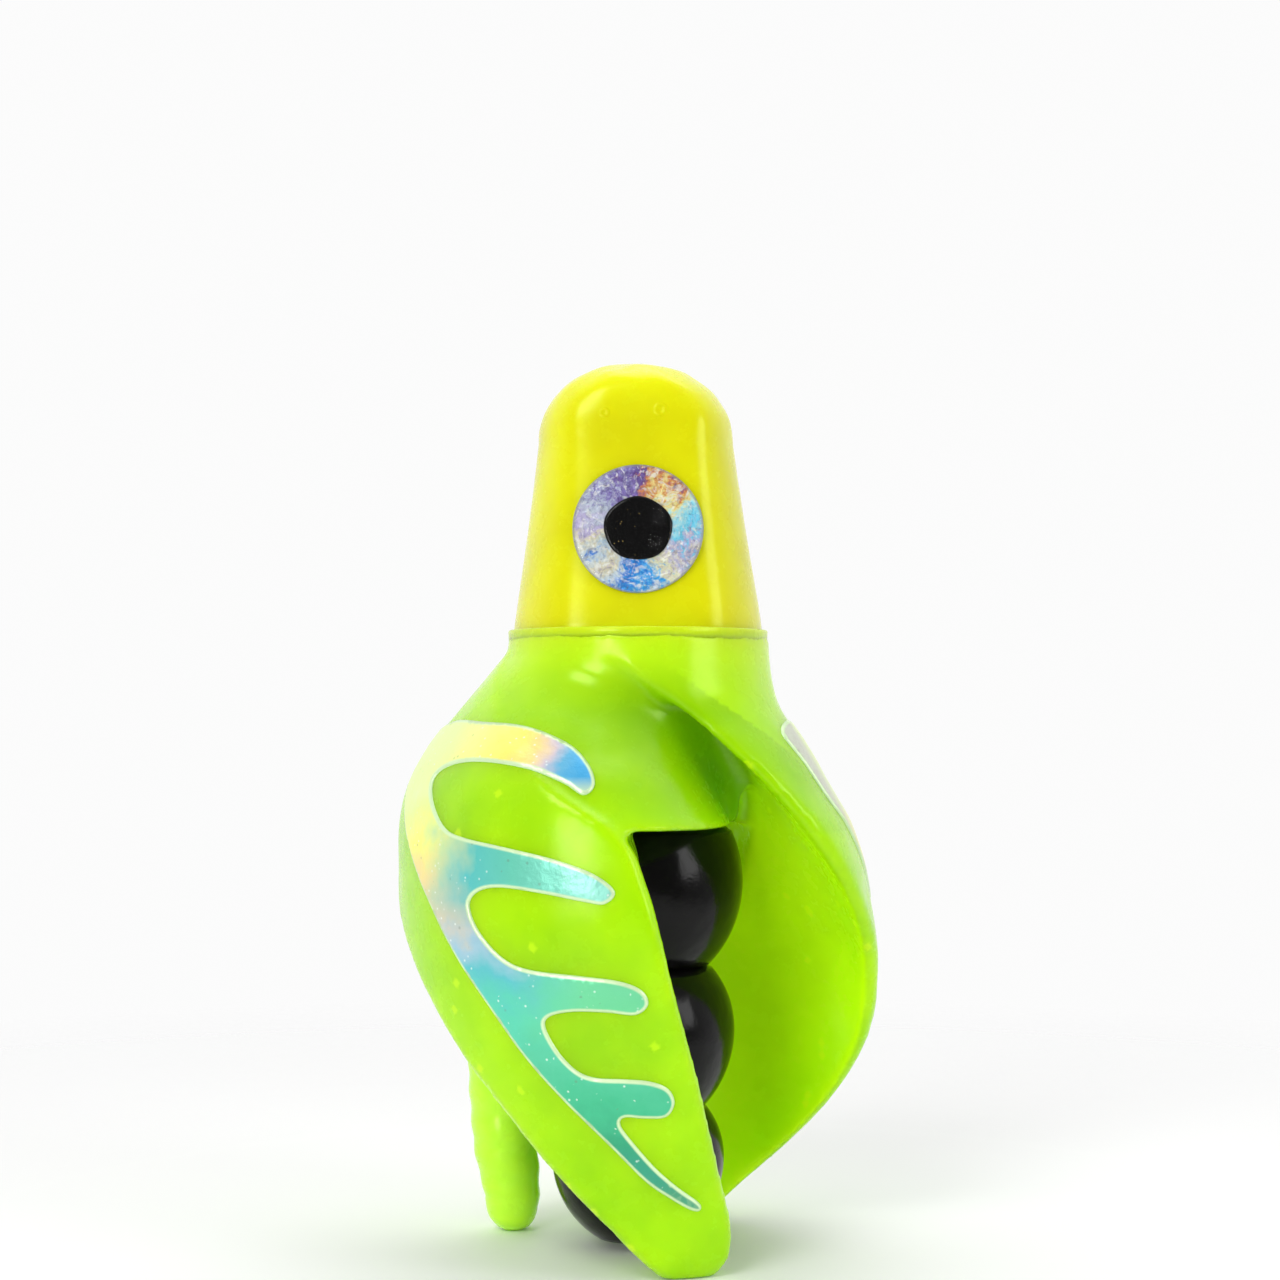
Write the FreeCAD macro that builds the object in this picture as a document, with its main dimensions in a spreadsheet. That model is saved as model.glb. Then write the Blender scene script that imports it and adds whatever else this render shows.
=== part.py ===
import FreeCAD, Part

import math
import os

import Sketcher
from FreeCAD import Placement, Rotation, Vector

# Desk spinner in the form of a small winged bird, in millimetres.
#
# Frame: +Z up, origin on the desk under the middle of the object, front towards -Y.
# A green casting with two twisted wings and a rear leg stands on three tips.  The yellow
# head, the steel spindle and the black ribbed core turn in it on two miniature bearings.
# Azimuths are degrees about +Z, 0 at the front (-Y) and positive towards +X.

doc = FreeCAD.newDocument("WingedBirdSpinner")
sheet = doc.addObject("Spreadsheet::Sheet", "Dimensions")

DIMENSIONS = {
    # spindle and its hardware
    "spindle_radius": 1.5,
    "spindle_bottom": 1.3,
    "spindle_top": 66.0,
    "insert_radius": 2.3,
    "insert_top": 65.6,
    "washer_radius": 2.6,
    "nut_circumradius": 3.175,
    "nut_bottom": 1.1,
    "nut_height": 2.4,
    "nut_pocket_radius": 3.3,
    # ball bearings, 3 x 10 x 4
    "bearing_width": 4.0,
    "bearing_radius": 5.0,
    "outer_land_radius": 3.95,
    "inner_land_radius": 2.6,
    "ball_count": 7,
    "ball_radius": 0.794,
    "ball_pitch_radius": 3.25,
    "groove_radius": 0.83,
    "shield_bore_radius": 2.8,
    "shield_thickness": 0.2,
    "shield_recess": 0.1,
    "lower_bearing_bottom": 40.5,
    "upper_bearing_bottom": 51.0,
    # bearing sleeve and its retaining ring
    "sleeve_radius": 6.0,
    "sleeve_waist_radius": 4.3,
    "sleeve_top": 56.6,
    "ring_bottom": 55.1,
    "ring_thickness": 0.6,
    "ring_bore_radius": 4.2,
    "ring_sweep": 310.0,
    # hub of the casting
    "hub_bottom": 39.7,
    "hub_top": 57.3,
    "hub_base_radius": 9.3,
    "hub_waist_radius": 9.4,
    "hub_waist_height": 44.5,
    "hub_flare_radius": 10.8,
    "hub_flare_height": 51.0,
    "hub_shoulder_radius": 12.3,
    "hub_shoulder_height": 55.5,
    "lip_inner_radius": 12.1,
    "lip_outer_radius": 12.42,
    "lip_top": 57.85,
    "hub_hole_radius": 3.6,
    # head
    "head_bottom": 57.6,
    "head_base_radius": 11.8,
    "head_neck_radius": 9.25,
    "head_neck_height": 75.5,
    "head_crown_radius": 8.9,
    "head_top": 83.3,
    "facet_base_depth": 9.9,
    "facet_top_depth": 6.3,
    "facet_clear_depth": 14.0,
    # eyes
    "eye_height": 66.9,
    "eye_radius": 6.0,
    "foil_thickness": 0.15,
    "pupil_radius": 3.1,
    "pupil_thickness": 0.12,
    "dome_edge": 0.12,
    "dome_rise": 0.65,
    # ribbed core, three beads
    "core_top": 39.3,
    "core_top_radius": 8.7,
    "crown_1_height": 34.2,
    "crown_1_radius": 9.9,
    "pinch_1_height": 26.4,
    "pinch_1_radius": 6.7,
    "crown_2_height": 20.4,
    "crown_2_radius": 9.1,
    "pinch_2_height": 13.2,
    "pinch_2_radius": 6.3,
    "crown_3_height": 8.4,
    "crown_3_radius": 8.1,
    "core_bottom": 0.9,
    "core_bottom_radius": 3.9,
    # wings
    "wing_rim_samples": 9,
    "flute_samples": 7,
    "flute_floor_radius": 10.9,
    "crest_thickness": 1.3,
    "shoulder_root_radius": 7.0,
    "shoulder_inset": 0.5,
    "decal_thickness": 0.25,
    "decal_view_azimuth": -45.0,
    "decal_limit_azimuth": -6.0,
    "far_decal_turn": 145.0,
}

# Wing stations from the collar down to the foot: height, azimuth of the crest, azimuth of the
# trailing edge, outer radius, and the sweep over which the flute behind the crest reaches its floor.
STATION_FIELDS = ("height", "crest", "trailing", "radius", "sweep")
NEAR_WING = [
    (56.0, -175, -78, 12.3, 25),
    (51.0, -170, -50, 16.4, 26),
    (47.5, -162, -36, 19.2, 30),
    (43.7, -148, -20, 21.5, 36),
    (39.7, -126, -4, 22.5, 43),
    (35.0, -102, 2, 22.6, 50),
    (31.0, -82, 5, 22.5, 54),
    (25.5, -66, 9, 21.8, 56),
    (19.0, -51, 15, 20.3, 50),
    (14.0, -38, 20, 18.8, 44),
    (9.0, -25, 26, 17.3, 38),
    (4.0, -8, 33, 16.0, 30),
    (1.5, 1, 33, 15.4, 22),
    (0.0, 8, 29, 14.8, 14),
]
FAR_WING = [
    (56.0, -20, 100, 12.3, 25),
    (52.4, 3, 120, 12.8, 26),
    (50.2, 17, 132, 13.6, 26),
    (47.6, 29, 143, 15.4, 28),
    (45.2, 38, 152, 16.9, 31),
    (42.0, 47, 164, 18.7, 36),
    (39.7, 52, 172, 20.0, 41),
    (34.7, 63, 180, 21.6, 50),
    (27.0, 82, 187, 22.6, 58),
    (20.5, 92, 194, 22.4, 58),
    (16.4, 99, 199, 21.4, 56),
    (12.2, 108, 203, 19.7, 52),
    (7.8, 121, 206, 17.6, 44),
    (3.4, 138, 199, 15.8, 34),
    (1.2, 147, 192, 15.1, 24),
    (0.0, 152, 184, 14.6, 16),
]
# Web stations: height, azimuth and radius where the web leaves a wing's face, azimuth and radius
# of its valley, azimuth and radius where it ends inside the flute of the other wing.
WEB_FIELDS = ("height", "start", "radius", "valley", "depth", "end", "rise")
FRONT_WEB = [
    (55.5, -85, 12.4, -4, 12.4, 5, 12.4),
    (52.5, -68, 14.9, 15, 11.5, 24, 11.5),
    (49.8, -55, 17.1, 32, 10.5, 41, 11.5),
    (47.0, -44, 19.2, 46, 9.9, 56, 11.7),
    (44.0, -31, 21.0, 58, 9.5, 69, 11.2),
    (41.6, -22, 21.7, 66, 9.4, 79, 9.9),
    (39.7, -14, 22.2, 72, 9.4, 87, 9.4),
]
BACK_WEB = [
    (55.5, 93, 12.1, 198, 12.4, 207, 12.4),
    (52.5, 109, 12.5, 201, 11.5, 210, 11.6),
    (49.8, 124, 13.6, 206, 10.5, 216, 12.0),
    (47.0, 135, 15.5, 215, 9.9, 226, 12.3),
    (44.0, 146, 17.3, 229, 9.5, 241, 11.6),
    (41.6, 155, 18.6, 243, 9.4, 257, 10.0),
    (39.7, 162, 19.7, 256, 9.4, 271, 9.4),
]
# Rear leg stations from the casting down to the tip: height, radius of the leg, x and y of its centre.
LEG_FIELDS = ("height", "radius", "x", "y")
REAR_LEG = [
    (45.0, 3.2, -11.4, 8.0),
    (37.0, 3.4, -12.4, 7.9),
    (29.0, 3.4, -12.9, 7.7),
    (21.0, 3.4, -13.1, 7.6),
    (14.0, 3.4, -13.1, 7.4),
    (8.0, 3.15, -12.8, 7.2),
    (2.5, 2.7, -12.3, 7.1),
]
# Wing decal, drawn on a plane that faces decal_view_azimuth: distance to the right, height.
DECAL_SPINE = [
    (-11.6, 47.2), (-4.0, 48.6), (-3.6, 45.4), (-6.0, 43.6), (-1.6, 39.4), (2.2, 34.4), (7.2, 26.6),
    (8.4, 22.6), (11.8, 16.4), (12.5, 12.8), (15.2, 6.8), (12.9, 9.0), (8.8, 16.2), (3.0, 24.2),
    (-3.2, 32.6), (-8.6, 38.6), (-11.4, 43.0),
]
# Decal feathers: root and tip of each, with the half width at the root and at the tip.
FEATHERS = [
    ((-4.0, 47.0), (3.4, 46.9), 1.7, 1.7),
    ((3.0, 46.9), (11.0, 44.0), 1.75, 0.9),
    ((-2.0, 37.4), (13.6, 34.9), 2.2, 0.9),
    ((4.0, 26.2), (15.0, 25.6), 2.2, 0.95),
    ((10.4, 16.6), (15.0, 16.7), 1.9, 1.1),
]


class Size:
    """A number together with the spreadsheet expression that it comes from."""

    def __init__(self, value, text):
        self.value = value
        self.text = text

    def __add__(self, other):
        return Size(self.value + other.value, f"({self.text} + {other.text})")

    def __sub__(self, other):
        return Size(self.value - other.value, f"({self.text} - {other.text})")

    def __mul__(self, other):
        return Size(self.value * other.value, f"({self.text} * {other.text})")

    def __truediv__(self, other):
        return Size(self.value / other.value, f"({self.text} / {other.text})")

    def __neg__(self):
        return Size(-self.value, f"(-{self.text})")


def number(value):
    return Size(value, repr(value))


def dim(alias):
    return Size(float(sheet.get(alias)), f"Dimensions.{alias}")


def root(size):
    return Size(math.sqrt(size.value), f"sqrt({size.text})")


def fill_sheet():
    """Write every driving dimension, station value included, under an alias of its own."""
    cells = dict(DIMENSIONS)
    tables = (("near", NEAR_WING, STATION_FIELDS), ("far", FAR_WING, STATION_FIELDS),
              ("front_web", FRONT_WEB, WEB_FIELDS), ("back_web", BACK_WEB, WEB_FIELDS),
              ("leg", REAR_LEG, LEG_FIELDS))
    for name, stations, fields in tables:
        for index, station in enumerate(stations):
            for field, value in zip(fields, station):
                cells[f"{name}_{field}_{index}"] = value
    for row, (alias, value) in enumerate(cells.items(), start=1):
        sheet.set(f"A{row}", alias)
        sheet.set(f"B{row}", str(value))
        sheet.setAlias(f"B{row}", alias)
    doc.recompute()


def read_stations(name, fields, count):
    """Read a table of stations back from the sheet, as plain numbers."""
    return [tuple(dim(f"{name}_{field}_{index}").value for field in fields) for index in range(count)]


# ---------------------------------------------------------------- sketches and turned pieces

def new_body(label):
    body = doc.addObject("PartDesign::Body", label)
    body.Label = label
    body.AllowCompound = True
    return body


def new_sketch(body, name, role):
    sketch = body.newObject("Sketcher::SketchObject", name)
    plane = next(f for f in body.Origin.OriginFeatures if f.Role == role)
    sketch.AttachmentSupport = [(plane, "")]
    sketch.MapMode = "FlatFace"
    return sketch


def arc_between(start, end, radius):
    """The short arc from start to end; a negative radius turns clockwise."""
    middle = (start + end) * 0.5
    half = (end - start) * 0.5
    reach = math.sqrt(radius ** 2 - half.Length ** 2)
    left = Vector(-half.y, half.x, 0).normalize()
    centre = middle + left * math.copysign(reach, radius)
    circle = Part.Circle(centre, Vector(0, 0, 1), abs(radius))
    first, last = (start, end) if radius > 0 else (end, start)
    angles = [math.atan2(p.y - centre.y, p.x - centre.x) for p in (first, last)]
    return Part.ArcOfCircle(circle, angles[0], angles[1])


def fix_coordinate(sketch, kind, axis, geometry, position, size):
    """Pin one coordinate of a sketch point to its sheet expression, or to the axis at zero."""
    if abs(size.value) < 1e-9:
        sketch.addConstraint(Sketcher.Constraint("PointOnObject", geometry, position, axis))
        return
    points = (-1, 1, geometry, position)
    if size.value < 0:
        points = (geometry, position, -1, 1)
        size = -size
    index = sketch.addConstraint(Sketcher.Constraint(kind, *points, size.value))
    sketch.setExpression(f"Constraints[{index}]", size.text)


def add_outline(sketch, outline):
    """Draw a closed outline of (across, up, arc radius or None) corners and pin each corner."""
    corners = [Vector(across.value, up.value, 0) for across, up, _ in outline]
    heads = []
    tails = []
    for index, (_, _, radius) in enumerate(outline):
        start = corners[index]
        end = corners[(index + 1) % len(corners)]
        if radius is None:
            segment = sketch.addGeometry(Part.LineSegment(start, end))
        else:
            segment = sketch.addGeometry(arc_between(start, end, radius.value))
            bend = radius if radius.value > 0 else -radius
            ring = sketch.addConstraint(Sketcher.Constraint("Radius", segment, bend.value))
            sketch.setExpression(f"Constraints[{ring}]", bend.text)
        clockwise = radius is not None and radius.value < 0
        heads.append((segment, 2 if clockwise else 1))
        tails.append((segment, 1 if clockwise else 2))
    for index, tail in enumerate(tails):
        head = heads[(index + 1) % len(heads)]
        sketch.addConstraint(Sketcher.Constraint("Coincident", *tail, *head))
    for (segment, position), (across, up, _) in zip(heads, outline):
        fix_coordinate(sketch, "DistanceX", -2, segment, position, across)
        fix_coordinate(sketch, "DistanceY", -1, segment, position, up)


def turned(label, outline, sweep=None):
    """A body turned about Z from an outline of (radius, height, arc radius or None) corners."""
    body = new_body(label)
    sketch = new_sketch(body, label + "_outline", "XZ_Plane")
    add_outline(sketch, outline)
    turn = body.newObject("PartDesign::Revolution", label + "_turn")
    turn.Profile = sketch
    turn.ReferenceAxis = (sketch, ["V_Axis"])
    turn.Angle = 360
    if sweep:
        turn.setExpression("Angle", sweep.text)
    sketch.Visibility = False
    return body


def ring_outline(inner, outer, bottom, top):
    return [(inner, bottom, None), (outer, bottom, None), (outer, top, None), (inner, top, None)]


def tangent_radius(step, rise):
    """Radius of an arc that runs along its axis at one end and leaves it by step over rise."""
    return (step * step + rise * rise) / (step * number(2))


# ---------------------------------------------------------------- bearings

def outer_race(label, bottom):
    land = dim("outer_land_radius")
    top = bottom + dim("bearing_width")
    middle = bottom + dim("bearing_width") / number(2)
    reach = land - dim("ball_pitch_radius")
    half = root(dim("groove_radius") * dim("groove_radius") - reach * reach)
    edge = dim("bearing_radius")
    return turned(label, [(land, bottom, None), (edge, bottom, None), (edge, top, None), (land, top, None),
                          (land, middle + half, -dim("groove_radius")), (land, middle - half, None)])


def inner_race(label, bottom):
    land = dim("inner_land_radius")
    top = bottom + dim("bearing_width")
    middle = bottom + dim("bearing_width") / number(2)
    reach = dim("ball_pitch_radius") - land
    half = root(dim("groove_radius") * dim("groove_radius") - reach * reach)
    bore = dim("spindle_radius")
    return turned(label, [(bore, bottom, None), (land, bottom, None),
                          (land, middle - half, -dim("groove_radius")), (land, middle + half, None),
                          (land, top, None), (bore, top, None)])


def shields(label, bottom):
    """Two thin closing discs, one under each face of a bearing."""
    low = bottom + dim("shield_recess")
    high = bottom + dim("bearing_width") - dim("shield_recess") - dim("shield_thickness")
    body = new_body(label)
    sketch = new_sketch(body, label + "_outline", "XZ_Plane")
    for base in (low, high):
        add_outline(sketch, ring_outline(dim("shield_bore_radius"), dim("outer_land_radius"), base,
                                         base + dim("shield_thickness")))
    turn = body.newObject("PartDesign::Revolution", label + "_turn")
    turn.Profile = sketch
    turn.ReferenceAxis = (sketch, ["V_Axis"])
    turn.Angle = 360
    return body


def ball_set(label, bottom):
    """The balls of one bearing, equally spaced on the pitch circle."""
    count = int(dim("ball_count").value)
    balls = []
    for index in range(count):
        ball = doc.addObject("Part::Sphere", f"{label}_{index}")
        ball.setExpression("Radius", "Dimensions.ball_radius")
        angle = 360.0 * index / count
        ball.setExpression("Placement.Base.x", f"Dimensions.ball_pitch_radius * cos({angle} deg)")
        ball.setExpression("Placement.Base.y", f"Dimensions.ball_pitch_radius * sin({angle} deg)")
        ball.setExpression("Placement.Base.z", (bottom + dim("bearing_width") / number(2)).text)
        balls.append(ball)
    group = doc.addObject("Part::Compound", label)
    group.Label = label
    group.Links = balls
    return group


def bearing_sleeve():
    """Steel sleeve pressed into the hub, with a waist between its two bearing seats."""
    seat = dim("bearing_radius")
    waist = dim("sleeve_waist_radius")
    low_step = dim("lower_bearing_bottom") + dim("bearing_width")
    high_step = dim("upper_bearing_bottom")
    outer = dim("sleeve_radius")
    bottom = dim("lower_bearing_bottom")
    top = dim("sleeve_top")
    return turned("bearing_sleeve", [(seat, bottom, None), (outer, bottom, None), (outer, top, None),
                                     (seat, top, None), (seat, high_step, None), (waist, high_step, None),
                                     (waist, low_step, None), (seat, low_step, None)])


def retaining_ring():
    bottom = dim("ring_bottom")
    top = bottom + dim("ring_thickness")
    outline = ring_outline(dim("ring_bore_radius"), dim("bearing_radius"), bottom, top)
    return turned("retaining_ring", outline, dim("ring_sweep"))


# ---------------------------------------------------------------- spindle, washers and nut

def tube(label, inner, outer, bottom, top):
    return turned(label, ring_outline(inner, outer, bottom, top))


def spindle():
    radius = dim("spindle_radius")
    bottom = dim("spindle_bottom")
    top = dim("spindle_top")
    axis = number(0)
    return turned("spindle", ring_outline(axis, radius, bottom, top))


def end_nut():
    """Hexagon nut, recessed in the underside of the lowest bead."""
    nut = doc.addObject("Part::Prism", "end_nut_hexagon")
    nut.Polygon = 6
    nut.setExpression("Circumradius", "Dimensions.nut_circumradius")
    nut.setExpression("Height", "Dimensions.nut_height")
    nut.setExpression("Placement.Base.z", "Dimensions.nut_bottom")
    hole = doc.addObject("Part::Cylinder", "end_nut_hole")
    hole.setExpression("Radius", "Dimensions.spindle_radius")
    hole.setExpression("Height", "Dimensions.nut_height + 2")
    hole.setExpression("Placement.Base.z", "Dimensions.nut_bottom - 1")
    cut = doc.addObject("Part::Cut", "end_nut")
    cut.Label = "end_nut"
    cut.Base = nut
    cut.Tool = hole
    return cut


# ---------------------------------------------------------------- ribbed core

def core_bead(label, bottom, crown, top, pocket=None):
    """One bulge of the core; bottom, crown and top are (radius, height), pocket a nut recess."""
    lower = tangent_radius(crown[0] - bottom[0], crown[1] - bottom[1])
    upper = tangent_radius(crown[0] - top[0], top[1] - crown[1])
    bore = dim("spindle_radius")
    outline = [(bottom[0], bottom[1], lower), (crown[0], crown[1], upper), (top[0], top[1], None),
               (bore, top[1], None)]
    if pocket:
        outline += [(bore, pocket[1], None), (pocket[0], pocket[1], None), (pocket[0], bottom[1], None)]
    else:
        outline += [(bore, bottom[1], None)]
    return turned(label, outline)


def core_beads():
    levels = [(dim("core_top_radius"), dim("core_top")),
              (dim("pinch_1_radius"), dim("pinch_1_height")),
              (dim("pinch_2_radius"), dim("pinch_2_height")),
              (dim("core_bottom_radius"), dim("core_bottom"))]
    nut_pocket = (dim("nut_pocket_radius"), dim("nut_bottom") + dim("nut_height"))
    beads = []
    for index in range(3):
        crown = (dim(f"crown_{index + 1}_radius"), dim(f"crown_{index + 1}_height"))
        pocket = nut_pocket if index == 2 else None
        beads.append(core_bead(f"core_bead_{index + 1}", levels[index + 1], crown, levels[index], pocket))
    return beads


# ---------------------------------------------------------------- head and eyes

def head():
    """Bullet-shaped head with a blind bore for the insert and a flat facet front and back."""
    bore = dim("insert_radius")
    bottom = dim("head_bottom")
    bore_top = dim("spindle_top") + number(1)
    axis = number(0)
    body = turned("head", [(bore, bottom, None), (dim("head_base_radius"), bottom, None),
                           (dim("head_neck_radius"), dim("head_neck_height"), dim("head_crown_radius")),
                           (axis, dim("head_top"), None), (axis, bore_top, None), (bore, bore_top, None)])
    sketch = new_sketch(body, "head_facets", "YZ_Plane")
    low = bottom - number(1)
    high = dim("head_top") + number(1)
    near_low, near_high = facet_depths(low, high)
    far = dim("facet_clear_depth")
    add_outline(sketch, [(near_low, low, None), (far, low, None), (far, high, None),
                         (near_high, high, None)])
    add_outline(sketch, [(-near_low, low, None), (-near_high, high, None), (-far, high, None),
                         (-far, low, None)])
    facets = body.newObject("PartDesign::Pocket", "head_facet_cut")
    facets.Profile = sketch
    facets.SideType = "Symmetric"
    facets.Type = "ThroughAll"
    return body


def facet_depths(*heights):
    """Distance of the sloping facet from the axis at each height."""
    slope = (dim("facet_top_depth") - dim("facet_base_depth")) / (dim("head_top") - dim("head_bottom"))
    return [dim("facet_base_depth") + slope * (height - dim("head_bottom")) for height in heights]


def eye_placement(turn):
    """Placement that lays a disc's local Z along the facet's outward normal, turned about Z."""
    depth = facet_depths(dim("eye_height"))[0].value
    rise = dim("head_top").value - dim("head_bottom").value
    lean = math.degrees(math.atan2(dim("facet_base_depth").value - dim("facet_top_depth").value, rise))
    seat = Placement(Vector(0, -depth, dim("eye_height").value), Rotation(Vector(1, 0, 0), 90 - lean))
    return Placement(Vector(), Rotation(Vector(0, 0, 1), turn)) * seat


def eye_disc(label, radius, thickness, lift, turn):
    disc = doc.addObject("Part::Cylinder", label)
    disc.Label = label
    disc.setExpression("Radius", f"Dimensions.{radius}")
    disc.setExpression("Height", f"Dimensions.{thickness}")
    disc.Placement = eye_placement(turn) * Placement(Vector(0, 0, lift.value), Rotation())
    return disc


def eye_dome(label, turn):
    """Clear domed resin over the foil and the pupil."""
    foil = dim("foil_thickness")
    over_pupil = foil + dim("pupil_thickness")
    edge = foil + dim("dome_edge")
    axis = number(0)
    curve = tangent_radius(dim("dome_rise") - dim("dome_edge"), dim("eye_radius"))
    dome = turned(label, [(axis, over_pupil, None), (dim("pupil_radius"), over_pupil, None),
                          (dim("pupil_radius"), foil, None), (dim("eye_radius"), foil, None),
                          (dim("eye_radius"), edge, curve), (axis, foil + dim("dome_rise"), None)])
    dome.Placement = eye_placement(turn)
    return dome


def eyes():
    made = []
    foil_top = dim("foil_thickness")
    for side, turn in (("front", 0), ("rear", 180)):
        made.append(eye_disc(f"{side}_eye_foil", "eye_radius", "foil_thickness", number(0), turn))
        made.append(eye_disc(f"{side}_eye_pupil", "pupil_radius", "pupil_thickness", foil_top, turn))
        made.append(eye_dome(f"{side}_eye_dome", turn))
    return made


# ---------------------------------------------------------------- winged casting

def polar(radius, azimuth, height):
    angle = math.radians(azimuth)
    return Vector(radius * math.sin(angle), -radius * math.cos(angle), height)


def curve_through(points):
    curve = Part.BSplineCurve()
    curve.interpolate(points)
    return curve.toShape()


def spread(first, last, count):
    return [first + (last - first) * i / (count - 1) for i in range(count)]


def wing_section(height, crest, trailing, radius, sweep):
    """Closed section of a wing: outer curve, trailing wall, inner curve, flute and rounded crest."""
    floor = dim("flute_floor_radius").value
    edge = dim("crest_thickness").value
    rim_count = int(dim("wing_rim_samples").value)
    flute_count = int(dim("flute_samples").value)
    margin = math.degrees(edge / 2 / radius)
    foot = crest + sweep
    outside = [polar(radius, azimuth, height) for azimuth in spread(crest + margin, trailing, rim_count)]
    inside = [polar(floor, azimuth, height) for azimuth in spread(trailing, foot, rim_count)]
    flute = [polar(reach, azimuth, height) for reach, azimuth in
             zip(spread(floor, radius - edge, flute_count), spread(foot, crest + margin, flute_count))]
    tip = polar(radius - edge / 2, crest, height)
    return Part.Wire([curve_through(outside), Part.LineSegment(outside[-1], inside[0]).toShape(),
                      curve_through(inside), curve_through(flute),
                      Part.Arc(flute[-1], tip, outside[0]).toShape()])


def wing_blade(stations):
    """The twisted, fluted body of one wing, lofted through its sections."""
    return Part.makeLoft([wing_section(*station) for station in stations], True, True)


def shoulder_section(height, crest, trailing, radius, sweep):
    """Section of the root behind the flute's foot, a little inside the wing's own faces."""
    inset = dim("shoulder_inset").value
    root_radius = dim("shoulder_root_radius").value
    azimuths = spread(crest + sweep + 2 * inset, trailing - 3 * inset, int(dim("wing_rim_samples").value))
    outside = [polar(radius - inset, azimuth, height) for azimuth in azimuths]
    inside = [polar(root_radius, azimuth, height) for azimuth in reversed(azimuths)]
    return Part.Wire([curve_through(outside), Part.LineSegment(outside[-1], inside[0]).toShape(),
                      curve_through(inside), Part.LineSegment(inside[-1], outside[0]).toShape()])


def wing_shoulder(stations):
    """The thick root that joins a wing to the hub, flat underneath at the hub's bottom."""
    lowest = dim("hub_bottom").value
    sections = [shoulder_section(*station) for station in stations if station[0] >= lowest]
    return Part.makeLoft(sections, True, True)


def web_section(height, start, radius, valley, depth, end, rise):
    """Section of the web between the wings: down from one wing's face, up into the other's flute."""
    samples = spread(0.0, 1.0, int(dim("flute_samples").value))
    slope = [polar(depth + (radius - depth) * (1 + math.cos(math.pi * part)) / 2,
                   start + (valley - start) * part, height) for part in samples]
    slope += [polar(depth + (rise - depth) * part * part, valley + (end - valley) * part, height)
              for part in (0.5, 1.0)]
    root_radius = dim("shoulder_root_radius").value
    inside = [polar(root_radius, azimuth, height) for azimuth in spread(end, start, len(samples))]
    return Part.Wire([curve_through(slope), Part.LineSegment(slope[-1], inside[0]).toShape(),
                      curve_through(inside), Part.LineSegment(inside[-1], slope[0]).toShape()])


def web(stations):
    """The web between the two wings, which hangs from the hub and is flat underneath."""
    return Part.makeLoft([web_section(*station) for station in stations], True, True)


def hub():
    """Solid hub under the head, before it is bored for the bearing sleeve."""
    axis = number(0)
    outline = [(axis, dim("hub_bottom"), None), (dim("hub_base_radius"), dim("hub_bottom"), None),
               (dim("hub_waist_radius"), dim("hub_waist_height"), None),
               (dim("hub_flare_radius"), dim("hub_flare_height"), None),
               (dim("hub_shoulder_radius"), dim("hub_shoulder_height"), None),
               (dim("lip_outer_radius"), dim("hub_top"), None),
               (dim("lip_outer_radius"), dim("lip_top"), None),
               (dim("lip_inner_radius"), dim("lip_top"), None),
               (dim("lip_inner_radius"), dim("hub_top"), None),
               (axis, dim("hub_top"), None)]
    return turned("hub_blank", outline)


def hub_bore():
    """The sleeve's seat and the smaller hole that the thrust washer turns in."""
    axis = number(0)
    hole = dim("hub_hole_radius")
    seat = dim("sleeve_radius")
    seat_bottom = dim("lower_bearing_bottom")
    over = dim("hub_top") + number(1)
    under = dim("hub_bottom") - number(1)
    return turned("hub_bore", [(axis, under, None), (hole, under, None), (hole, seat_bottom, None),
                               (seat, seat_bottom, None), (seat, over, None), (axis, over, None)])


def shape_feature(label, shape):
    feature = doc.addObject("Part::Feature", label)
    feature.Label = label
    feature.Shape = shape
    feature.Placement = Placement()
    return feature


def winged_body(near, far, front_web, back_web):
    """One casting: hub, two wings, their shoulders and webs, bored for the bearing sleeve."""
    blank = hub()
    bore = hub_bore()
    doc.recompute()
    lobes = [wing_blade(near), wing_shoulder(near), wing_blade(far), wing_shoulder(far),
             web(front_web), web(back_web)]
    casting = blank.Shape.fuse(lobes).cut(bore.Shape)
    return shape_feature("winged_body", largest_solid(casting))


def largest_solid(shape):
    return max(shape.Solids, key=lambda solid: solid.Volume)


def rear_leg(casting):
    """Finger-like third leg with a rounded tip, trimmed where it grows out of the casting."""
    stations = read_stations("leg", LEG_FIELDS, len(REAR_LEG))
    wires = [Part.Wire([Part.Circle(Vector(x, y, height), Vector(0, 0, 1), radius).toShape()])
             for height, radius, x, y in stations]
    tip_height, tip_radius, tip_x, tip_y = stations[-1]
    tip = Part.makeSphere(tip_radius, Vector(tip_x, tip_y, tip_height))
    desk = Part.makeBox(4 * tip_radius, 4 * tip_radius, tip_radius,
                        Vector(tip_x - 2 * tip_radius, tip_y - 2 * tip_radius, -tip_radius))
    leg = Part.makeLoft(wires, True, False).fuse(tip).cut(desk).cut(casting.Shape)
    return shape_feature("rear_leg", min(leg.Solids, key=lambda solid: solid.BoundBox.ZMin))


# ---------------------------------------------------------------- wing decals

def decal_stroke(base, tip, base_half, tip_half):
    """Outline of a feather: two straight sides and two round ends, as a face in the XZ plane."""
    start = Vector(base[0], 0, base[1])
    end = Vector(tip[0], 0, tip[1])
    along = (end - start).normalize()
    side = Vector(-along.z, 0, along.x)
    corners = [start + side * base_half, end + side * tip_half,
               end - side * tip_half, start - side * base_half]
    edges = [Part.LineSegment(corners[0], corners[1]).toShape(),
             Part.Arc(corners[1], end + along * tip_half, corners[2]).toShape(),
             Part.LineSegment(corners[2], corners[3]).toShape(),
             Part.Arc(corners[3], start - along * base_half, corners[0]).toShape()]
    return Part.Face(Part.Wire(edges))


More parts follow.
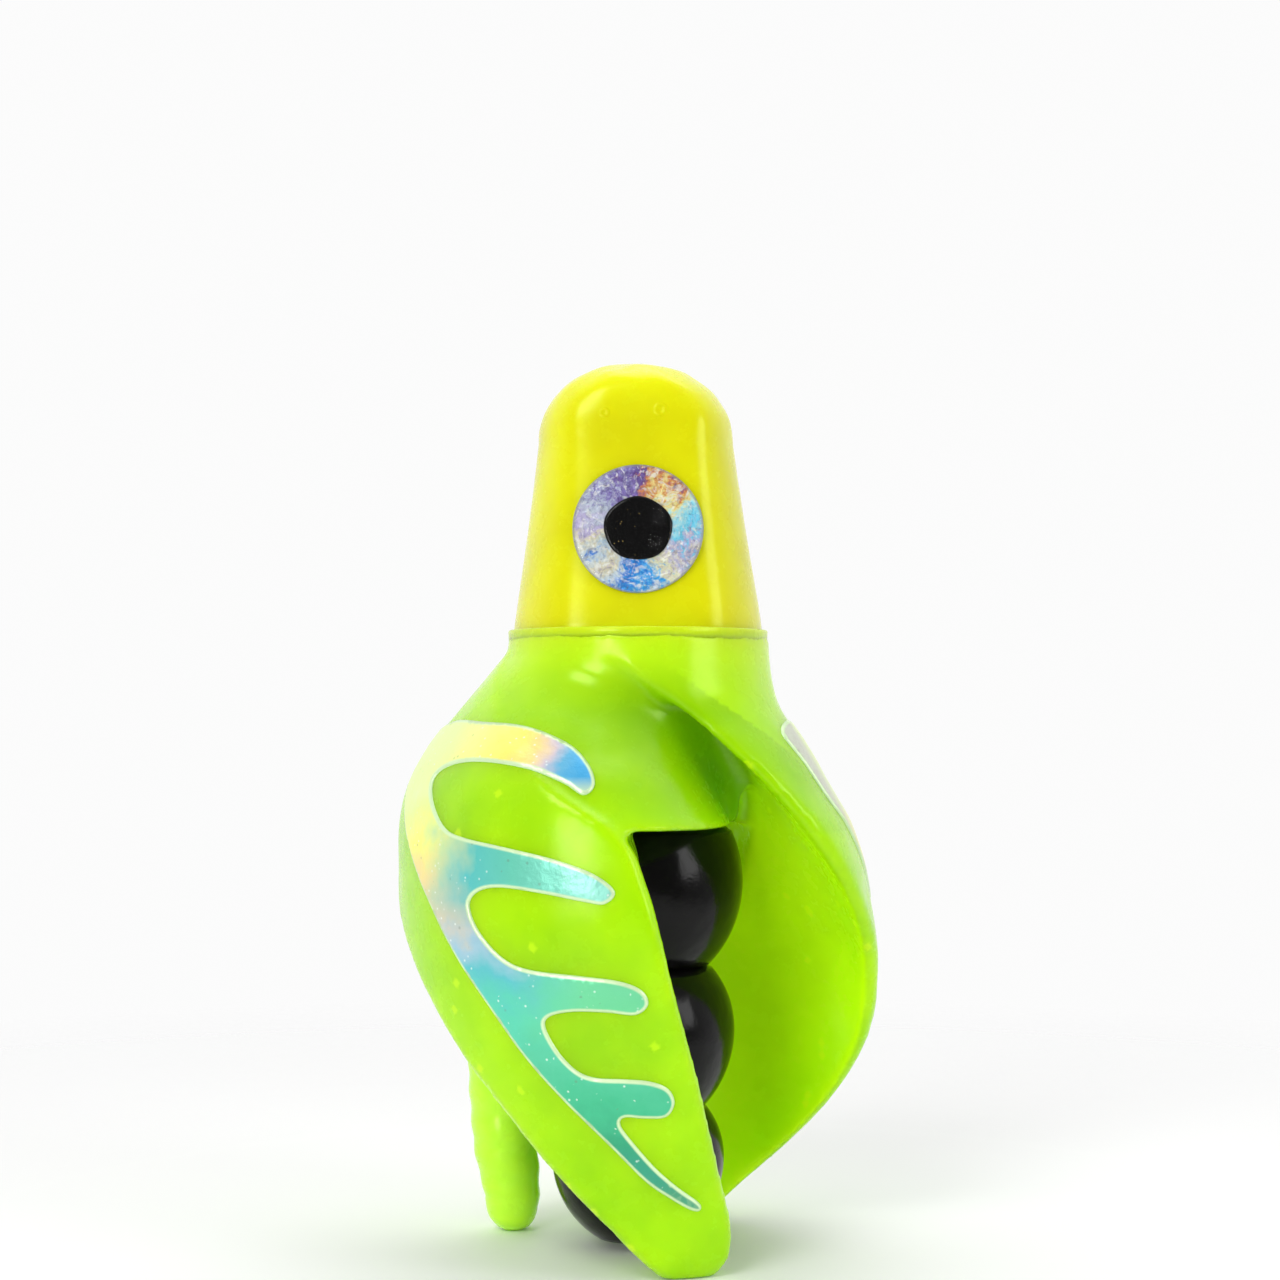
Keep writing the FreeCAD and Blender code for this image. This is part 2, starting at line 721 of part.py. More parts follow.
def decal_prism(reach):
    """The whole feathered outline, extruded from the axis towards the decal's view azimuth."""
    spine = Part.BSplineCurve()
    spine.interpolate([Vector(across, 0, up) for across, up in DECAL_SPINE], PeriodicFlag=True)
    faces = [Part.Face(Part.Wire([spine.toShape()]))]
    faces += [decal_stroke(*feather) for feather in FEATHERS]
    solids = [face.extrude(Vector(0, -reach, 0)) for face in faces]
    prism = solids[0].fuse(solids[1:])
    prism.rotate(Vector(), Vector(0, 0, 1), dim("decal_view_azimuth").value)
    return prism


def blend(stations, height):
    """Values of the stations at a height between them, along straight lines."""
    for above, below in zip(stations, stations[1:]):
        if below[0] <= height <= above[0]:
            part = (height - below[0]) / (above[0] - below[0])
            return [low + (high - low) * part for low, high in zip(below, above)]
    return list(stations[0])


def face_reach(height, azimuth, trailing, radius, web_stations):
    """Distance from the axis to the casting's face: the wing's radius, then the slope of its web."""
    if azimuth <= trailing or height < dim("hub_bottom").value:
        return radius
    _, start, top, valley, depth, _, _ = blend(web_stations, height)
    return depth + (top - depth) * (1 + math.cos(math.pi * (azimuth - start) / (valley - start))) / 2


def skin_section(height, crest, trailing, radius, web_stations, limit):
    """Closed section of a thin layer over a wing's outer face and the start of its web."""
    count = 2 * int(dim("wing_rim_samples").value)
    thickness = dim("decal_thickness").value
    margin = math.degrees(dim("crest_thickness").value / 2 / radius)
    azimuths = spread(crest + margin, max(trailing, limit), count)
    reaches = [face_reach(height, azimuth, trailing, radius, web_stations) for azimuth in azimuths]
    outside = [polar(reach + thickness, azimuth, height) for reach, azimuth in zip(reaches, azimuths)]
    inside = [polar(reach - 2 * thickness, azimuth, height) for reach, azimuth in zip(reaches, azimuths)]
    inside.reverse()
    return Part.Wire([curve_through(outside), Part.LineSegment(outside[-1], inside[0]).toShape(),
                      curve_through(inside), Part.LineSegment(inside[-1], outside[0]).toShape()])


def wing_decal(label, stations, web_stations, turn, casting):
    """Thin raised foil on the outside of a wing, following its curve."""
    limit = dim("decal_limit_azimuth").value + turn
    wires = [skin_section(height, crest, trailing, radius, web_stations, limit)
             for height, crest, trailing, radius, _ in stations]
    prism = decal_prism(reach=30.0)
    prism.rotate(Vector(), Vector(0, 0, 1), turn)
    skin = prism.common(Part.makeLoft(wires, True, True)).cut(casting.Shape)
    return shape_feature(label, largest_solid(skin))


# ---------------------------------------------------------------- assembly

def build():
    fill_sheet()
    lower = dim("lower_bearing_bottom")
    upper = dim("upper_bearing_bottom")
    width = dim("bearing_width")
    shaft = dim("spindle_radius")
    washer = dim("washer_radius")
    near = read_stations("near", STATION_FIELDS, len(NEAR_WING))
    far = read_stations("far", STATION_FIELDS, len(FAR_WING))
    front_web = read_stations("front_web", WEB_FIELDS, len(FRONT_WEB))
    back_web = read_stations("back_web", WEB_FIELDS, len(BACK_WEB))
    casting = winged_body(near, far, front_web, back_web)
    parts = [
        casting,
        rear_leg(casting),
        wing_decal("near_wing_decal", near, front_web, 0.0, casting),
        wing_decal("far_wing_decal", far, back_web, dim("far_decal_turn").value, casting),
        bearing_sleeve(),
        retaining_ring(),
        head(),
        tube("head_insert", shaft, dim("insert_radius"), dim("head_bottom"), dim("insert_top")),
        spindle(),
        tube("bearing_spacer", shaft, washer, lower + width, upper),
        tube("upper_spacer_washer", shaft, washer, upper + width, dim("head_bottom")),
        tube("lower_thrust_washer", shaft, washer, dim("core_top"), lower),
        end_nut(),
    ]
    parts += core_beads()
    parts += eyes()
    for side, bottom in (("lower", lower), ("upper", upper)):
        parts.append(outer_race(f"{side}_outer_race", bottom))
        parts.append(inner_race(f"{side}_inner_race", bottom))
        parts.append(shields(f"{side}_bearing_shields", bottom))
        parts.append(ball_set(f"{side}_bearing_balls", bottom))
    doc.recompute()
    return parts


def check(parts):
    for item in doc.Objects:
        if "Invalid" in item.State or "Error" in item.State:
            raise RuntimeError(f"{item.Label} failed: {item.State}")
    for part in parts:
        shape = part.Shape
        if shape.isNull() or not shape.isValid() or shape.Volume <= 0:
            raise RuntimeError(f"{part.Label} has no valid solid")


def write(parts):
    os.makedirs("parts", exist_ok=True)
    for part in parts:
        part.Shape.exportStep(os.path.join("parts", part.Label + ".step"))
        box = part.Shape.BoundBox
        print(f"{part.Label}: {len(part.Shape.Solids)} solid(s), {part.Shape.Volume:.1f} mm3, "
              f"x {box.XMin:.2f}..{box.XMax:.2f}, y {box.YMin:.2f}..{box.YMax:.2f}, "
              f"z {box.ZMin:.2f}..{box.ZMax:.2f}")


assembly = build()
check(assembly)
write(assembly)
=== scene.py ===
import math

import bmesh
import bpy
from mathutils import Matrix, Vector, noise
from mathutils.bvhtree import BVHTree
from mathutils.geometry import delaunay_2d_cdt


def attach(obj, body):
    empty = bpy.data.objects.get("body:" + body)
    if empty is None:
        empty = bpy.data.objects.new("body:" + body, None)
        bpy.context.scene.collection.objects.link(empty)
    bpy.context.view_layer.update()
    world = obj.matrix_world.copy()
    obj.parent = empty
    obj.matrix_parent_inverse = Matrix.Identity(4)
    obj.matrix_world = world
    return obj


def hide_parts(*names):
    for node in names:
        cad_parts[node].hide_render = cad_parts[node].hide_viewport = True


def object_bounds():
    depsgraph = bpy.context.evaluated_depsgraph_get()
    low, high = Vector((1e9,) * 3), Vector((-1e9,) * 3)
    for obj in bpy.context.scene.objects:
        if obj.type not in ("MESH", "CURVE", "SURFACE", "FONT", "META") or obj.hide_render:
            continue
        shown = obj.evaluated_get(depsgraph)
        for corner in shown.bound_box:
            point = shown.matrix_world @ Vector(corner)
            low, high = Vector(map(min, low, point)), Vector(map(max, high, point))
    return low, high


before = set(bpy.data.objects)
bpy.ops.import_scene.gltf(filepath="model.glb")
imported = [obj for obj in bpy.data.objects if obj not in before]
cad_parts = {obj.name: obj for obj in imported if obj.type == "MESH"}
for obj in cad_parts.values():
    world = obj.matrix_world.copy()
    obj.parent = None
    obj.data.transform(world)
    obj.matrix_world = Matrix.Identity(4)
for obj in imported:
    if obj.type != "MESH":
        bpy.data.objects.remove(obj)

CAD_BOX = [list(corner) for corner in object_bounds()]
MM = 0.001

# Azimuths are degrees about +Z, 0 at the front (-Y) and positive towards +X.
# Wing stations, as in the design: height, azimuths of the crest and of the trailing edge,
# outer radius, and the sweep in degrees over which the flute behind the crest reaches its floor.
NEAR_WING = [
    (56.0, -175, -78, 12.3, 25), (51.0, -170, -50, 16.4, 26), (47.5, -162, -36, 19.2, 30),
    (43.7, -148, -20, 21.5, 36), (39.7, -126, -4, 22.5, 43), (35.0, -102, 2, 22.6, 50),
    (31.0, -82, 5, 22.5, 54), (25.5, -66, 9, 21.8, 56), (19.0, -51, 15, 20.3, 50),
    (14.0, -38, 20, 18.8, 44), (9.0, -25, 26, 17.3, 38), (4.0, -8, 33, 16.0, 30),
    (1.5, 1, 33, 15.4, 22), (0.0, 8, 29, 14.8, 14),
]
FAR_WING = [
    (56.0, -20, 100, 12.3, 25), (52.4, 3, 120, 12.8, 26), (50.2, 17, 132, 13.6, 26),
    (47.6, 29, 143, 15.4, 28), (45.2, 38, 152, 16.9, 31), (42.0, 47, 164, 18.7, 36),
    (39.7, 52, 172, 20.0, 41), (34.7, 63, 180, 21.6, 50), (27.0, 82, 187, 22.6, 58),
    (20.5, 92, 194, 22.4, 58), (16.4, 99, 199, 21.4, 56), (12.2, 108, 203, 19.7, 52),
    (7.8, 121, 206, 17.6, 44), (3.4, 138, 199, 15.8, 34), (1.2, 147, 192, 15.1, 24),
    (0.0, 152, 184, 14.6, 16),
]
# Webs between the wings: height, azimuth and radius of the start, azimuth and radius of the
# valley, azimuth and radius of the end inside the other wing's flute.
FRONT_WEB = [
    (55.5, -85, 12.4, -4, 12.4, 5, 12.4),
    (52.5, -68, 14.9, 15, 11.5, 24, 11.5),
    (49.8, -55, 17.1, 32, 10.5, 41, 11.5),
    (47.0, -44, 19.2, 46, 9.9, 56, 11.7),
    (44.0, -31, 21.0, 58, 9.5, 69, 11.2),
    (41.6, -22, 21.7, 66, 9.4, 79, 9.9),
    (39.7, -14, 22.2, 72, 9.4, 87, 9.4),
]
BACK_WEB = [
    (55.5, 93, 12.1, 198, 12.4, 207, 12.4),
    (52.5, 109, 12.5, 201, 11.5, 210, 11.6),
    (49.8, 124, 13.6, 206, 10.5, 216, 12.0),
    (47.0, 135, 15.5, 215, 9.9, 226, 12.3),
    (44.0, 146, 17.3, 229, 9.5, 241, 11.6),
    (41.6, 155, 18.6, 243, 9.4, 257, 10.0),
    (39.7, 162, 19.7, 256, 9.4, 271, 9.4),
]
FLUTE_FLOOR = 10.9
CREST_WALL = 1.3
EDGE_EASE = 0.6
WING_TOP, ROOT_TOP = 56.0, 55.5
# Rear leg: height, radius, x and y of its centre.
REAR_LEG = [
    (45.0, 3.2, -11.4, 8.0), (37.0, 3.35, -12.4, 7.9), (29.0, 3.35, -12.9, 7.7), (21.0, 3.35, -13.1, 7.6),
    (14.0, 3.35, -13.1, 7.4), (8.0, 3.1, -12.8, 7.2), (3.4, 2.7, -12.3, 7.1), (1.4, 2.3, -12.2, 7.1),
    (0.4, 1.6, -12.1, 7.1), (0.0, 0.9, -12.1, 7.1),
]
# Hub: profile of height and radius, then the collar's lip and the bore for the bearing sleeve.
HUB_PROFILE = [(39.7, 9.3), (44.0, 9.4), (48.0, 9.9), (51.0, 10.8), (53.5, 11.8), (55.5, 12.3), (57.3, 12.35)]
HUB_BOTTOM, HUB_TOP = 39.7, 57.3
LIP_TOP, LIP_INNER, LIP_OUTER = 57.85, 12.08, 12.3
SHOULDER_ROOT = 7.0
SLEEVE_SEAT = (40.5, 6.0)
HUB_HOLE_RADIUS = 3.6
# Valleys between the wings: where their softening ends below the collar, and how far out it reaches.
VALLEY_TOP, VALLEY_REACH = 53.0, 15.5

# Head: profile of height and radius, and how the two flat facets slope.
HEAD_PROFILE = [(57.6, 11.8), (60.0, 11.48), (64.0, 10.85), (68.0, 10.25), (72.0, 9.7), (75.5, 9.25)]
HEAD_TOP = 83.25
HEAD_BORE_RADIUS = 2.3
HEAD_BORE_TOP = 70.0
FACET_BASE, FACET_TOP = 9.9, 6.3
FACET_LOW, FACET_HIGH = 57.6, 83.3
CORNER_SHARPNESS = 15
EYE_HEIGHT = 66.9
EYE_RADIUS, PUPIL_RADIUS = 6.0, 3.05

# Core beads: (height, radius) of each bottom, crown and top.
CORE_BEADS = {
    "core_bead_1": ((26.4, 6.7), (34.2, 9.9), (39.3, 8.7)),
    "core_bead_2": ((13.2, 6.3), (20.4, 9.1), (26.4, 6.7)),
    "core_bead_3": ((0.9, 3.9), (8.4, 8.1), (13.2, 6.3)),
}
SPINDLE_RADIUS = 1.5
NUT_POCKET = (3.5, 3.3)

# Wing decal outline in azimuth and height: the long spine edge, then each feather from the
# foot upwards as lower edge, tip and upper edge.
DECAL_OUTLINE = [
    (-84, 48.2), (-79, 45.4), (-75.5, 42.4), (-69.6, 39.2), (-61.7, 35.7), (-53.7, 32.5), (-44.9, 28.2),
    (-37, 24.4), (-28.4, 20.1), (-18.7, 16.3), (-7.1, 12.3), (2, 9.3), (9.3, 7.7), (15.5, 6.6), (18.8, 6.4),
    (18.6, 7.1), (11.8, 8.6), (4.8, 10.5), (-1.6, 12.9), (-4.6, 14.4),
    (-3.4, 15.1), (1.6, 15.0), (7.2, 15.1), (9.3, 16.3), (7.6, 17.6), (3.0, 18.3), (-3.2, 18.5),
    (-10.4, 18.6), (-15, 19.2), (-19.3, 20.8), (-22.1, 22.9), (-20.6, 23.9), (-15, 24.4), (-7, 24.4),
    (-0.6, 24.2), (2.3, 25.1), (0.9, 26.3), (-4.2, 27.1), (-13.2, 27.5), (-25, 27.9),
    (-31.7, 28.8), (-37.7, 30.9), (-40.6, 33.2), (-37.6, 34.5), (-31, 34.9), (-21, 34.5), (-12, 33.9),
    (-7.2, 33.7), (-5, 34.8), (-9.9, 36.3), (-19, 37.5), (-31, 38.4), (-42.9, 39.1),
    (-49.1, 39.8), (-55.4, 41.8), (-59.6, 44.1), (-54.7, 45.3), (-43.3, 45.7), (-28.9, 45.2), (-18.4, 43.9),
    (-13.3, 42.9), (-11.0, 43.8), (-13.8, 45.6), (-21.2, 47.4), (-35.1, 48.8), (-52.5, 49.2), (-70, 49.3),
]
DECAL_THICKNESS = 0.22
DECAL_DEPTH = 0.25
DECAL_FLAT_RADIUS = 20.0
FAR_DECAL_TURN = 145.0

# Tints of the cast plastics: painted shade for the valleys, the cloudy body's two tones (the darker one also
# colours the painted glow on inner faces), and painted light for the top, thin edges and inner faces.
LIME_TINTS = ((100, 164, 0), (150, 212, 0), (172, 230, 0), (212, 252, 30))
LEG_TINTS = ((150, 215, 0), (186, 248, 40), (192, 255, 62), (205, 255, 90))
YELLOW_TINTS = ((210, 210, 0), (216, 213, 2), (226, 226, 6), (238, 243, 16))
# Tiny bubbles at the surface: centre and size in metres.
LIME_BUBBLES = (((-0.0146, -0.0158, 0.0395), 0.0009), ((-0.0087, -0.0186, 0.0495), 0.0006))
HEAD_BUBBLES = (((-0.0031, -0.0071, 0.0778), 0.0006), ((0.0021, -0.0071, 0.0781), 0.0008))


# ---------------------------------------------------------------- small mesh tools

def polar(radius, azimuth, height):
    angle = math.radians(azimuth)
    return Vector((radius * math.sin(angle), -radius * math.cos(angle), height))


def spread(first, last, count):
    """Evenly spaced numbers from first to last, both included."""
    return [first + (last - first) * step / (count - 1) for step in range(count)]


def clamp(value, low=0.0, high=1.0):
    return min(high, max(low, value))


def arc(radius, first, last, count, height):
    return [polar(radius, azimuth, height) for azimuth in spread(first, last, count)]


def circle(radius, count, height):
    return [polar(radius, 360 * step / count, height) for step in range(count)]


def blend_rows(rows, key):
    """Smooth value at key of rows sorted by their first field: a cubic through the stations."""
    rows = sorted(rows)
    key = clamp(key, rows[0][0], rows[-1][0])
    index = max(i for i in range(len(rows) - 1) if rows[i][0] <= key)
    low, high = rows[index], rows[index + 1]
    before = rows[max(index - 1, 0)]
    after = rows[min(index + 2, len(rows) - 1)]
    span = high[0] - low[0]
    t = (key - low[0]) / span
    out = []
    for field in range(1, len(low)):
        slope_low = (high[field] - before[field]) / (high[0] - before[0]) * span
        slope_high = (after[field] - low[field]) / (after[0] - low[0]) * span
        out.append((2 * t ** 3 - 3 * t ** 2 + 1) * low[field] + (t ** 3 - 2 * t ** 2 + t) * slope_low
                   + (3 * t ** 2 - 2 * t ** 3) * high[field] + (t ** 3 - t ** 2) * slope_high)
    return out


def new_object(name, mesh):
    obj = bpy.data.objects.new(name, mesh)
    bpy.context.scene.collection.objects.link(obj)
    return obj


def shade_smooth(obj):
    for polygon in obj.data.polygons:
        polygon.use_smooth = True
    return obj


def grid_mesh(name, rings):
    """Closed tube with flat ends through rings of points in millimetres, each ring a closed loop."""
    count = len(rings[0])
    points = [point * MM for ring in rings for point in ring]
    faces = []
    for row in range(len(rings) - 1):
        for column in range(count):
            following = (column + 1) % count
            faces.append((row * count + column, row * count + following,
                          (row + 1) * count + following, (row + 1) * count + column))
    faces.append(tuple(range(count - 1, -1, -1)))
    faces.append(tuple(range((len(rings) - 1) * count, len(rings) * count)))
    mesh = bpy.data.meshes.new(name)
    mesh.from_pydata(points, [], faces)
    return new_object(name, mesh)


def lathe(name, profile, segments=96):
    """Solid of revolution about Z from a closed profile of (height, radius)."""
    points = []
    faces = []
    rows = len(profile)
    for step in range(segments):
        azimuth = 360 * step / segments
        points += [polar(radius, azimuth, height) * MM for height, radius in profile]
    for step in range(segments):
        here, beyond = step * rows, (step + 1) % segments * rows
        for row in range(rows):
            following = (row + 1) % rows
            faces.append((here + row, beyond + row, beyond + following, here + following))
    mesh = bpy.data.meshes.new(name)
    mesh.from_pydata(points, [], faces)
    obj = new_object(name, mesh)
    face_outwards(obj)
    return obj


def face_outwards(obj, merge=True):
    """Turn every face outwards, once points that coincide are merged."""
    work = bmesh.new()
    work.from_mesh(obj.data)
    if merge:
        bmesh.ops.remove_doubles(work, verts=work.verts, dist=1e-7)
    bmesh.ops.recalc_face_normals(work, faces=work.faces)
    work.to_mesh(obj.data)
    work.free()


def apply_modifiers(obj):
    graph = bpy.context.evaluated_depsgraph_get()
    mesh = bpy.data.meshes.new_from_object(obj.evaluated_get(graph))
    obj.modifiers.clear()
    obj.data = mesh


def join(name, objects):
    work = bmesh.new()
    for obj in objects:
        work.from_mesh(obj.data)
        bpy.data.objects.remove(obj)
    mesh = bpy.data.meshes.new(name)
    work.to_mesh(mesh)
    work.free()
    return new_object(name, mesh)


def wobble(point, size, seed):
    """Gentle hand-cast unevenness, between -1 and 1, with features about size millimetres across."""
    return noise.noise(point / (size * MM) + Vector((seed, 0.0, 0.0)))


def displace(obj, size, height, seed):
    """Push every vertex along its normal by smooth noise."""
    mesh = obj.data
    moves = [vertex.normal * wobble(vertex.co, size, seed) * height * MM for vertex in mesh.vertices]
    for vertex, move in zip(mesh.vertices, moves):
        vertex.co += move
    mesh.update()


# ---------------------------------------------------------------- winged casting

def wing_ring(height, crest, trailing, radius, sweep):
    """Closed ring of a wing: outer arc, trailing wall, inner arc, and the flute up to the crest."""
    ease = math.degrees(EDGE_EASE / radius)
    foot = min(crest + sweep, trailing - 2)
    ring = arc(radius, crest + 2 * ease, trailing - ease, 44, height)
    ring += [polar(reach, trailing, height) for reach in spread(radius - EDGE_EASE, FLUTE_FLOOR, 10)]
    ring += arc(FLUTE_FLOOR, trailing, foot, 15, height)[1:]
    flute = zip(spread(FLUTE_FLOOR, radius - CREST_WALL, 25), spread(foot, crest, 25))
    ring += [polar(reach, azimuth, height) for reach, azimuth in flute][1:]
    ring.append(polar(radius - 0.35 * CREST_WALL, crest + 0.4 * ease, height))
    return ring


def shoulder_ring(height, crest, trailing, radius, sweep):
    """Closed ring of the thick root that joins a wing to the hub, behind the flute's foot."""
    first, last = crest + sweep + 1, trailing - 1.5
    return arc(radius - 0.5, first, last, 32, height) + arc(SHOULDER_ROOT, last, first, 32, height)


def web_ring(height, start, radius, valley, depth, end, rise):
    """Closed ring of a web: from a wing's face down to the valley, up into the other wing's flute."""
    ring = [polar(depth + (radius - depth) * (0.5 + 0.5 * math.cos(math.pi * part)),
                  start + (valley - start) * part, height) for part in spread(0.0, 1.0, 40)]
    ring += [polar(depth + (rise - depth) * part ** 2, valley + (end - valley) * part, height)
             for part in spread(0.0, 1.0, 13)[1:]]
    return ring + arc(SHOULDER_ROOT, end, start, 16, height)


def lofted(name, make_ring, stations, levels):
    return grid_mesh(name, [make_ring(height, *blend_rows(stations, height)) for height in levels])


def casting_pieces():
    """The wings, their shoulders, the webs and the hub, still overlapping."""
    blades = spread(0.0, WING_TOP, 100)
    roots = spread(HUB_BOTTOM, ROOT_TOP, 30)
    pieces = []
    for side, stations in (("near", NEAR_WING), ("far", FAR_WING)):
        pieces.append(lofted(side + "_blade", wing_ring, stations, blades))
        pieces.append(lofted(side + "_shoulder", shoulder_ring, stations, roots))
    pieces.append(lofted("front_web", web_ring, FRONT_WEB, roots))
    pieces.append(lofted("back_web", web_ring, BACK_WEB, roots))
    hub_rings = [circle(blend_rows(HUB_PROFILE, height)[0], 96, height)
                 for height in spread(HUB_BOTTOM, HUB_TOP, 30)]
    pieces.append(grid_mesh("hub_rings", hub_rings))
    for piece in pieces:
        face_outwards(piece)
    return pieces


def melt_together(body):
    """One closed skin over the overlapping pieces, with soft edges."""
    melt = body.modifiers.new("melt", "REMESH")
    melt.mode = "VOXEL"
    melt.voxel_size = 0.4 * MM
    soften = body.modifiers.new("soften", "SMOOTH")
    soften.factor = 0.5
    soften.iterations = 8
    apply_modifiers(body)


def bore_for_sleeve(body):
    """The bearing sleeve's seat, and under it the smaller hole that the thrust washer turns in."""
    seat_height, seat_radius = SLEEVE_SEAT
    under, over = HUB_BOTTOM - 2, HUB_TOP + 2
    profile = [(under, 0.0), (under, HUB_HOLE_RADIUS), (seat_height, HUB_HOLE_RADIUS),
               (seat_height, seat_radius), (over, seat_radius), (over, 0.0)]
    bore = lathe("bore_cutter", profile)
    cut = body.modifiers.new("bore", "BOOLEAN")
    cut.object = bore
    cut.operation = "DIFFERENCE"
    cut.solver = "EXACT"
    apply_modifiers(body)
    bpy.data.objects.remove(bore)


def make_winged_body():
    """Wings, shoulders, webs and hub melted into one casting, then bored for the bearing sleeve."""
    body = join("winged_body_cast", casting_pieces())
    melt_together(body)
    soften_valleys(body)
    displace(body, 9.0, 0.16, 3.0)
    displace(body, 2.6, 0.035, 8.0)
    keep_in_box(body, 0.0, HUB_TOP)
    bore_for_sleeve(body)
    shade_smooth(body)
    mark_hollows(body)
    return body


def soften_valleys(body):
    """Round the inner corners where the webs run into the flutes, under the collar."""
    valley_bottom = HUB_BOTTOM + 0.8
    group = body.vertex_groups.new(name="valleys")
    for vertex in body.data.vertices:
        x, y, height = vertex.co / MM
        reach = math.hypot(x, y)
        if valley_bottom < height < VALLEY_TOP and reach < VALLEY_REACH:
            rise = min(1.0, (height - valley_bottom) / 2.0, (VALLEY_TOP - height) / 3.0)
            group.add([vertex.index], rise * min(1.0, (VALLEY_REACH - reach) / 2.5), "REPLACE")
    smooth = body.modifiers.new("valleys", "SMOOTH")
    smooth.vertex_group = "valleys"
    smooth.factor = 0.6
    smooth.iterations = 36
    apply_modifiers(body)
    body.vertex_groups.clear()


def valley_share(azimuth, height, reach):
    """How deep a point lies between the wings, from 0 at a wing's face to 1 at a valley's floor."""
    share = 0.0
    for web in (FRONT_WEB, BACK_WEB):
        start, radius, _, depth, end, _ = blend_rows(web, height)
        if (azimuth - start) % 360 < end - start:
            share += clamp((radius - reach) / max(radius - depth, 0.5))
    return share


def mark_hollows(body):
    """Store, for the painted light and shade, how far a point faces the axis (to 1: painted light and glow)
    or lies in a valley (to -1: painted shade).
    """
    layer = body.data.attributes.new("hollow", "FLOAT", "POINT")
    for vertex in body.data.vertices:
        x, y, height = vertex.co / MM
        reach = max(math.hypot(x, y), 0.1)
        inward = -(vertex.normal.x * x + vertex.normal.y * y) / reach
        facing = clamp(inward * 1.25 + 0.1) if reach > 8.0 else 0.0
        value = facing * clamp((VALLEY_TOP - height) / 13.0)
        if HUB_BOTTOM - 0.5 < height < 55.0:
            azimuth = math.degrees(math.atan2(x, -y))
            fade = min(1.0, (55.0 - height) / 5.0)
            value -= valley_share(azimuth, height, reach) * fade * (1.0 - facing)
        layer.data[vertex.index].value = value


def make_collar_lip():
    """Thin raised edge of the collar that hides the gap under the turning head."""
    foot = HUB_TOP - 0.5
    profile = [(foot, LIP_INNER), (LIP_TOP - 0.08, LIP_INNER), (LIP_TOP, LIP_INNER + 0.08),
               (LIP_TOP, LIP_OUTER - 0.08), (LIP_TOP - 0.12, LIP_OUTER), (foot, LIP_OUTER - 0.05)]
    return shade_smooth(lathe("collar_lip", profile, 160))


def keep_in_box(obj, low, high):
    """Hold the mesh between two heights and inside the design's own box."""
    corner_low, corner_high = [Vector(corner) for corner in CAD_BOX]
    for vertex in obj.data.vertices:
        vertex.co.z = clamp(vertex.co.z, low * MM, high * MM)
        vertex.co.x = clamp(vertex.co.x, corner_low.x, corner_high.x)
        vertex.co.y = clamp(vertex.co.y, corner_low.y, corner_high.y)
    obj.data.update()


def make_rear_leg():
    """Finger-like leg with shallow ripples, ending inside the casting that it grows from."""
    rings = []
    for height in spread(0.0, 44.0, 120):
        radius, x, y = blend_rows(REAR_LEG, height)
        ring = []
        for step in range(40):
            angle = 2 * math.pi * step / 40
            ripple = 0.07 * math.sin(height * 2.1 + 1.3 * math.sin(angle)) if height > 2 else 0.0
            lump = 0.16 * noise.noise(Vector((math.cos(angle), math.sin(angle), height * 0.16)))
            reach = radius + ripple + (lump if height > 3 else 0.0)
            ring.append(Vector((x + reach * math.sin(angle), y - reach * math.cos(angle), height)))
        rings.append(ring)
    leg = grid_mesh("rear_leg_cast", rings)
    face_outwards(leg)
    return shade_smooth(leg)


# ---------------------------------------------------------------- decals

def closed_curve(points, per_span):
    """Points along a closed Catmull-Rom curve."""
    out = []
    count = len(points)
    for index in range(count):
        a, b, c, d = [Vector(points[(index + shift) % count]) for shift in (-1, 0, 1, 2)]
        for step in range(per_span):
            t = step / per_span
            out.append(0.5 * ((2 * b) + (c - a) * t + (2 * a - 5 * b + 4 * c - d) * t ** 2
                              + (3 * b - a - 3 * c + d) * t ** 3))
    return out


def inside(point, outline):
    """Even-odd test of a point against a closed outline."""
    hit = False
    x, y = point
    previous = outline[-1]
    for corner in outline:
        if (corner.y > y) != (previous.y > y):
            if x < (previous.x - corner.x) * (y - corner.y) / (previous.y - corner.y) + corner.x:
                hit = not hit
        previous = corner
    return hit


def edge_distance(point, outline):
    best = 1e9
    previous = outline[-1]
    for corner in outline:
        along = corner - previous
        t = max(0.0, min(1.0, (point - previous).dot(along) / max(along.length_squared, 1e-12)))
        best = min(best, (point - previous - along * t).length)
        previous = corner
    return best


def decal_points(outline):
    """Points to triangulate: the outline, a staggered grid inside it and two rows beside its edge."""
    step = 0.6
    low_x, high_x = min(p.x for p in outline), max(p.x for p in outline)
    low_y, high_y = min(p.y for p in outline), max(p.y for p in outline)
    points = list(outline)
    row = 0
    y = low_y
    while y < high_y:
        x = low_x + (step / 2 if row % 2 else 0)
        while x < high_x:
            point = Vector((x, y))
            if inside(point, outline) and edge_distance(point, outline) > 0.14:
                points.append(point)
            x += step
        y += step * 0.87
        row += 1
    for inset in (0.16, 0.34):
        points += inset_points(outline, inset)
    return points


def foil_rise(distance):
    """Height of the foil's top over the wing, rounded off towards its edge."""
    crown = min(distance / 0.3, 1.0)
    return DECAL_THICKNESS * (0.45 + 0.55 * math.sqrt(max(0.0, 1 - (1 - crown) ** 2)))


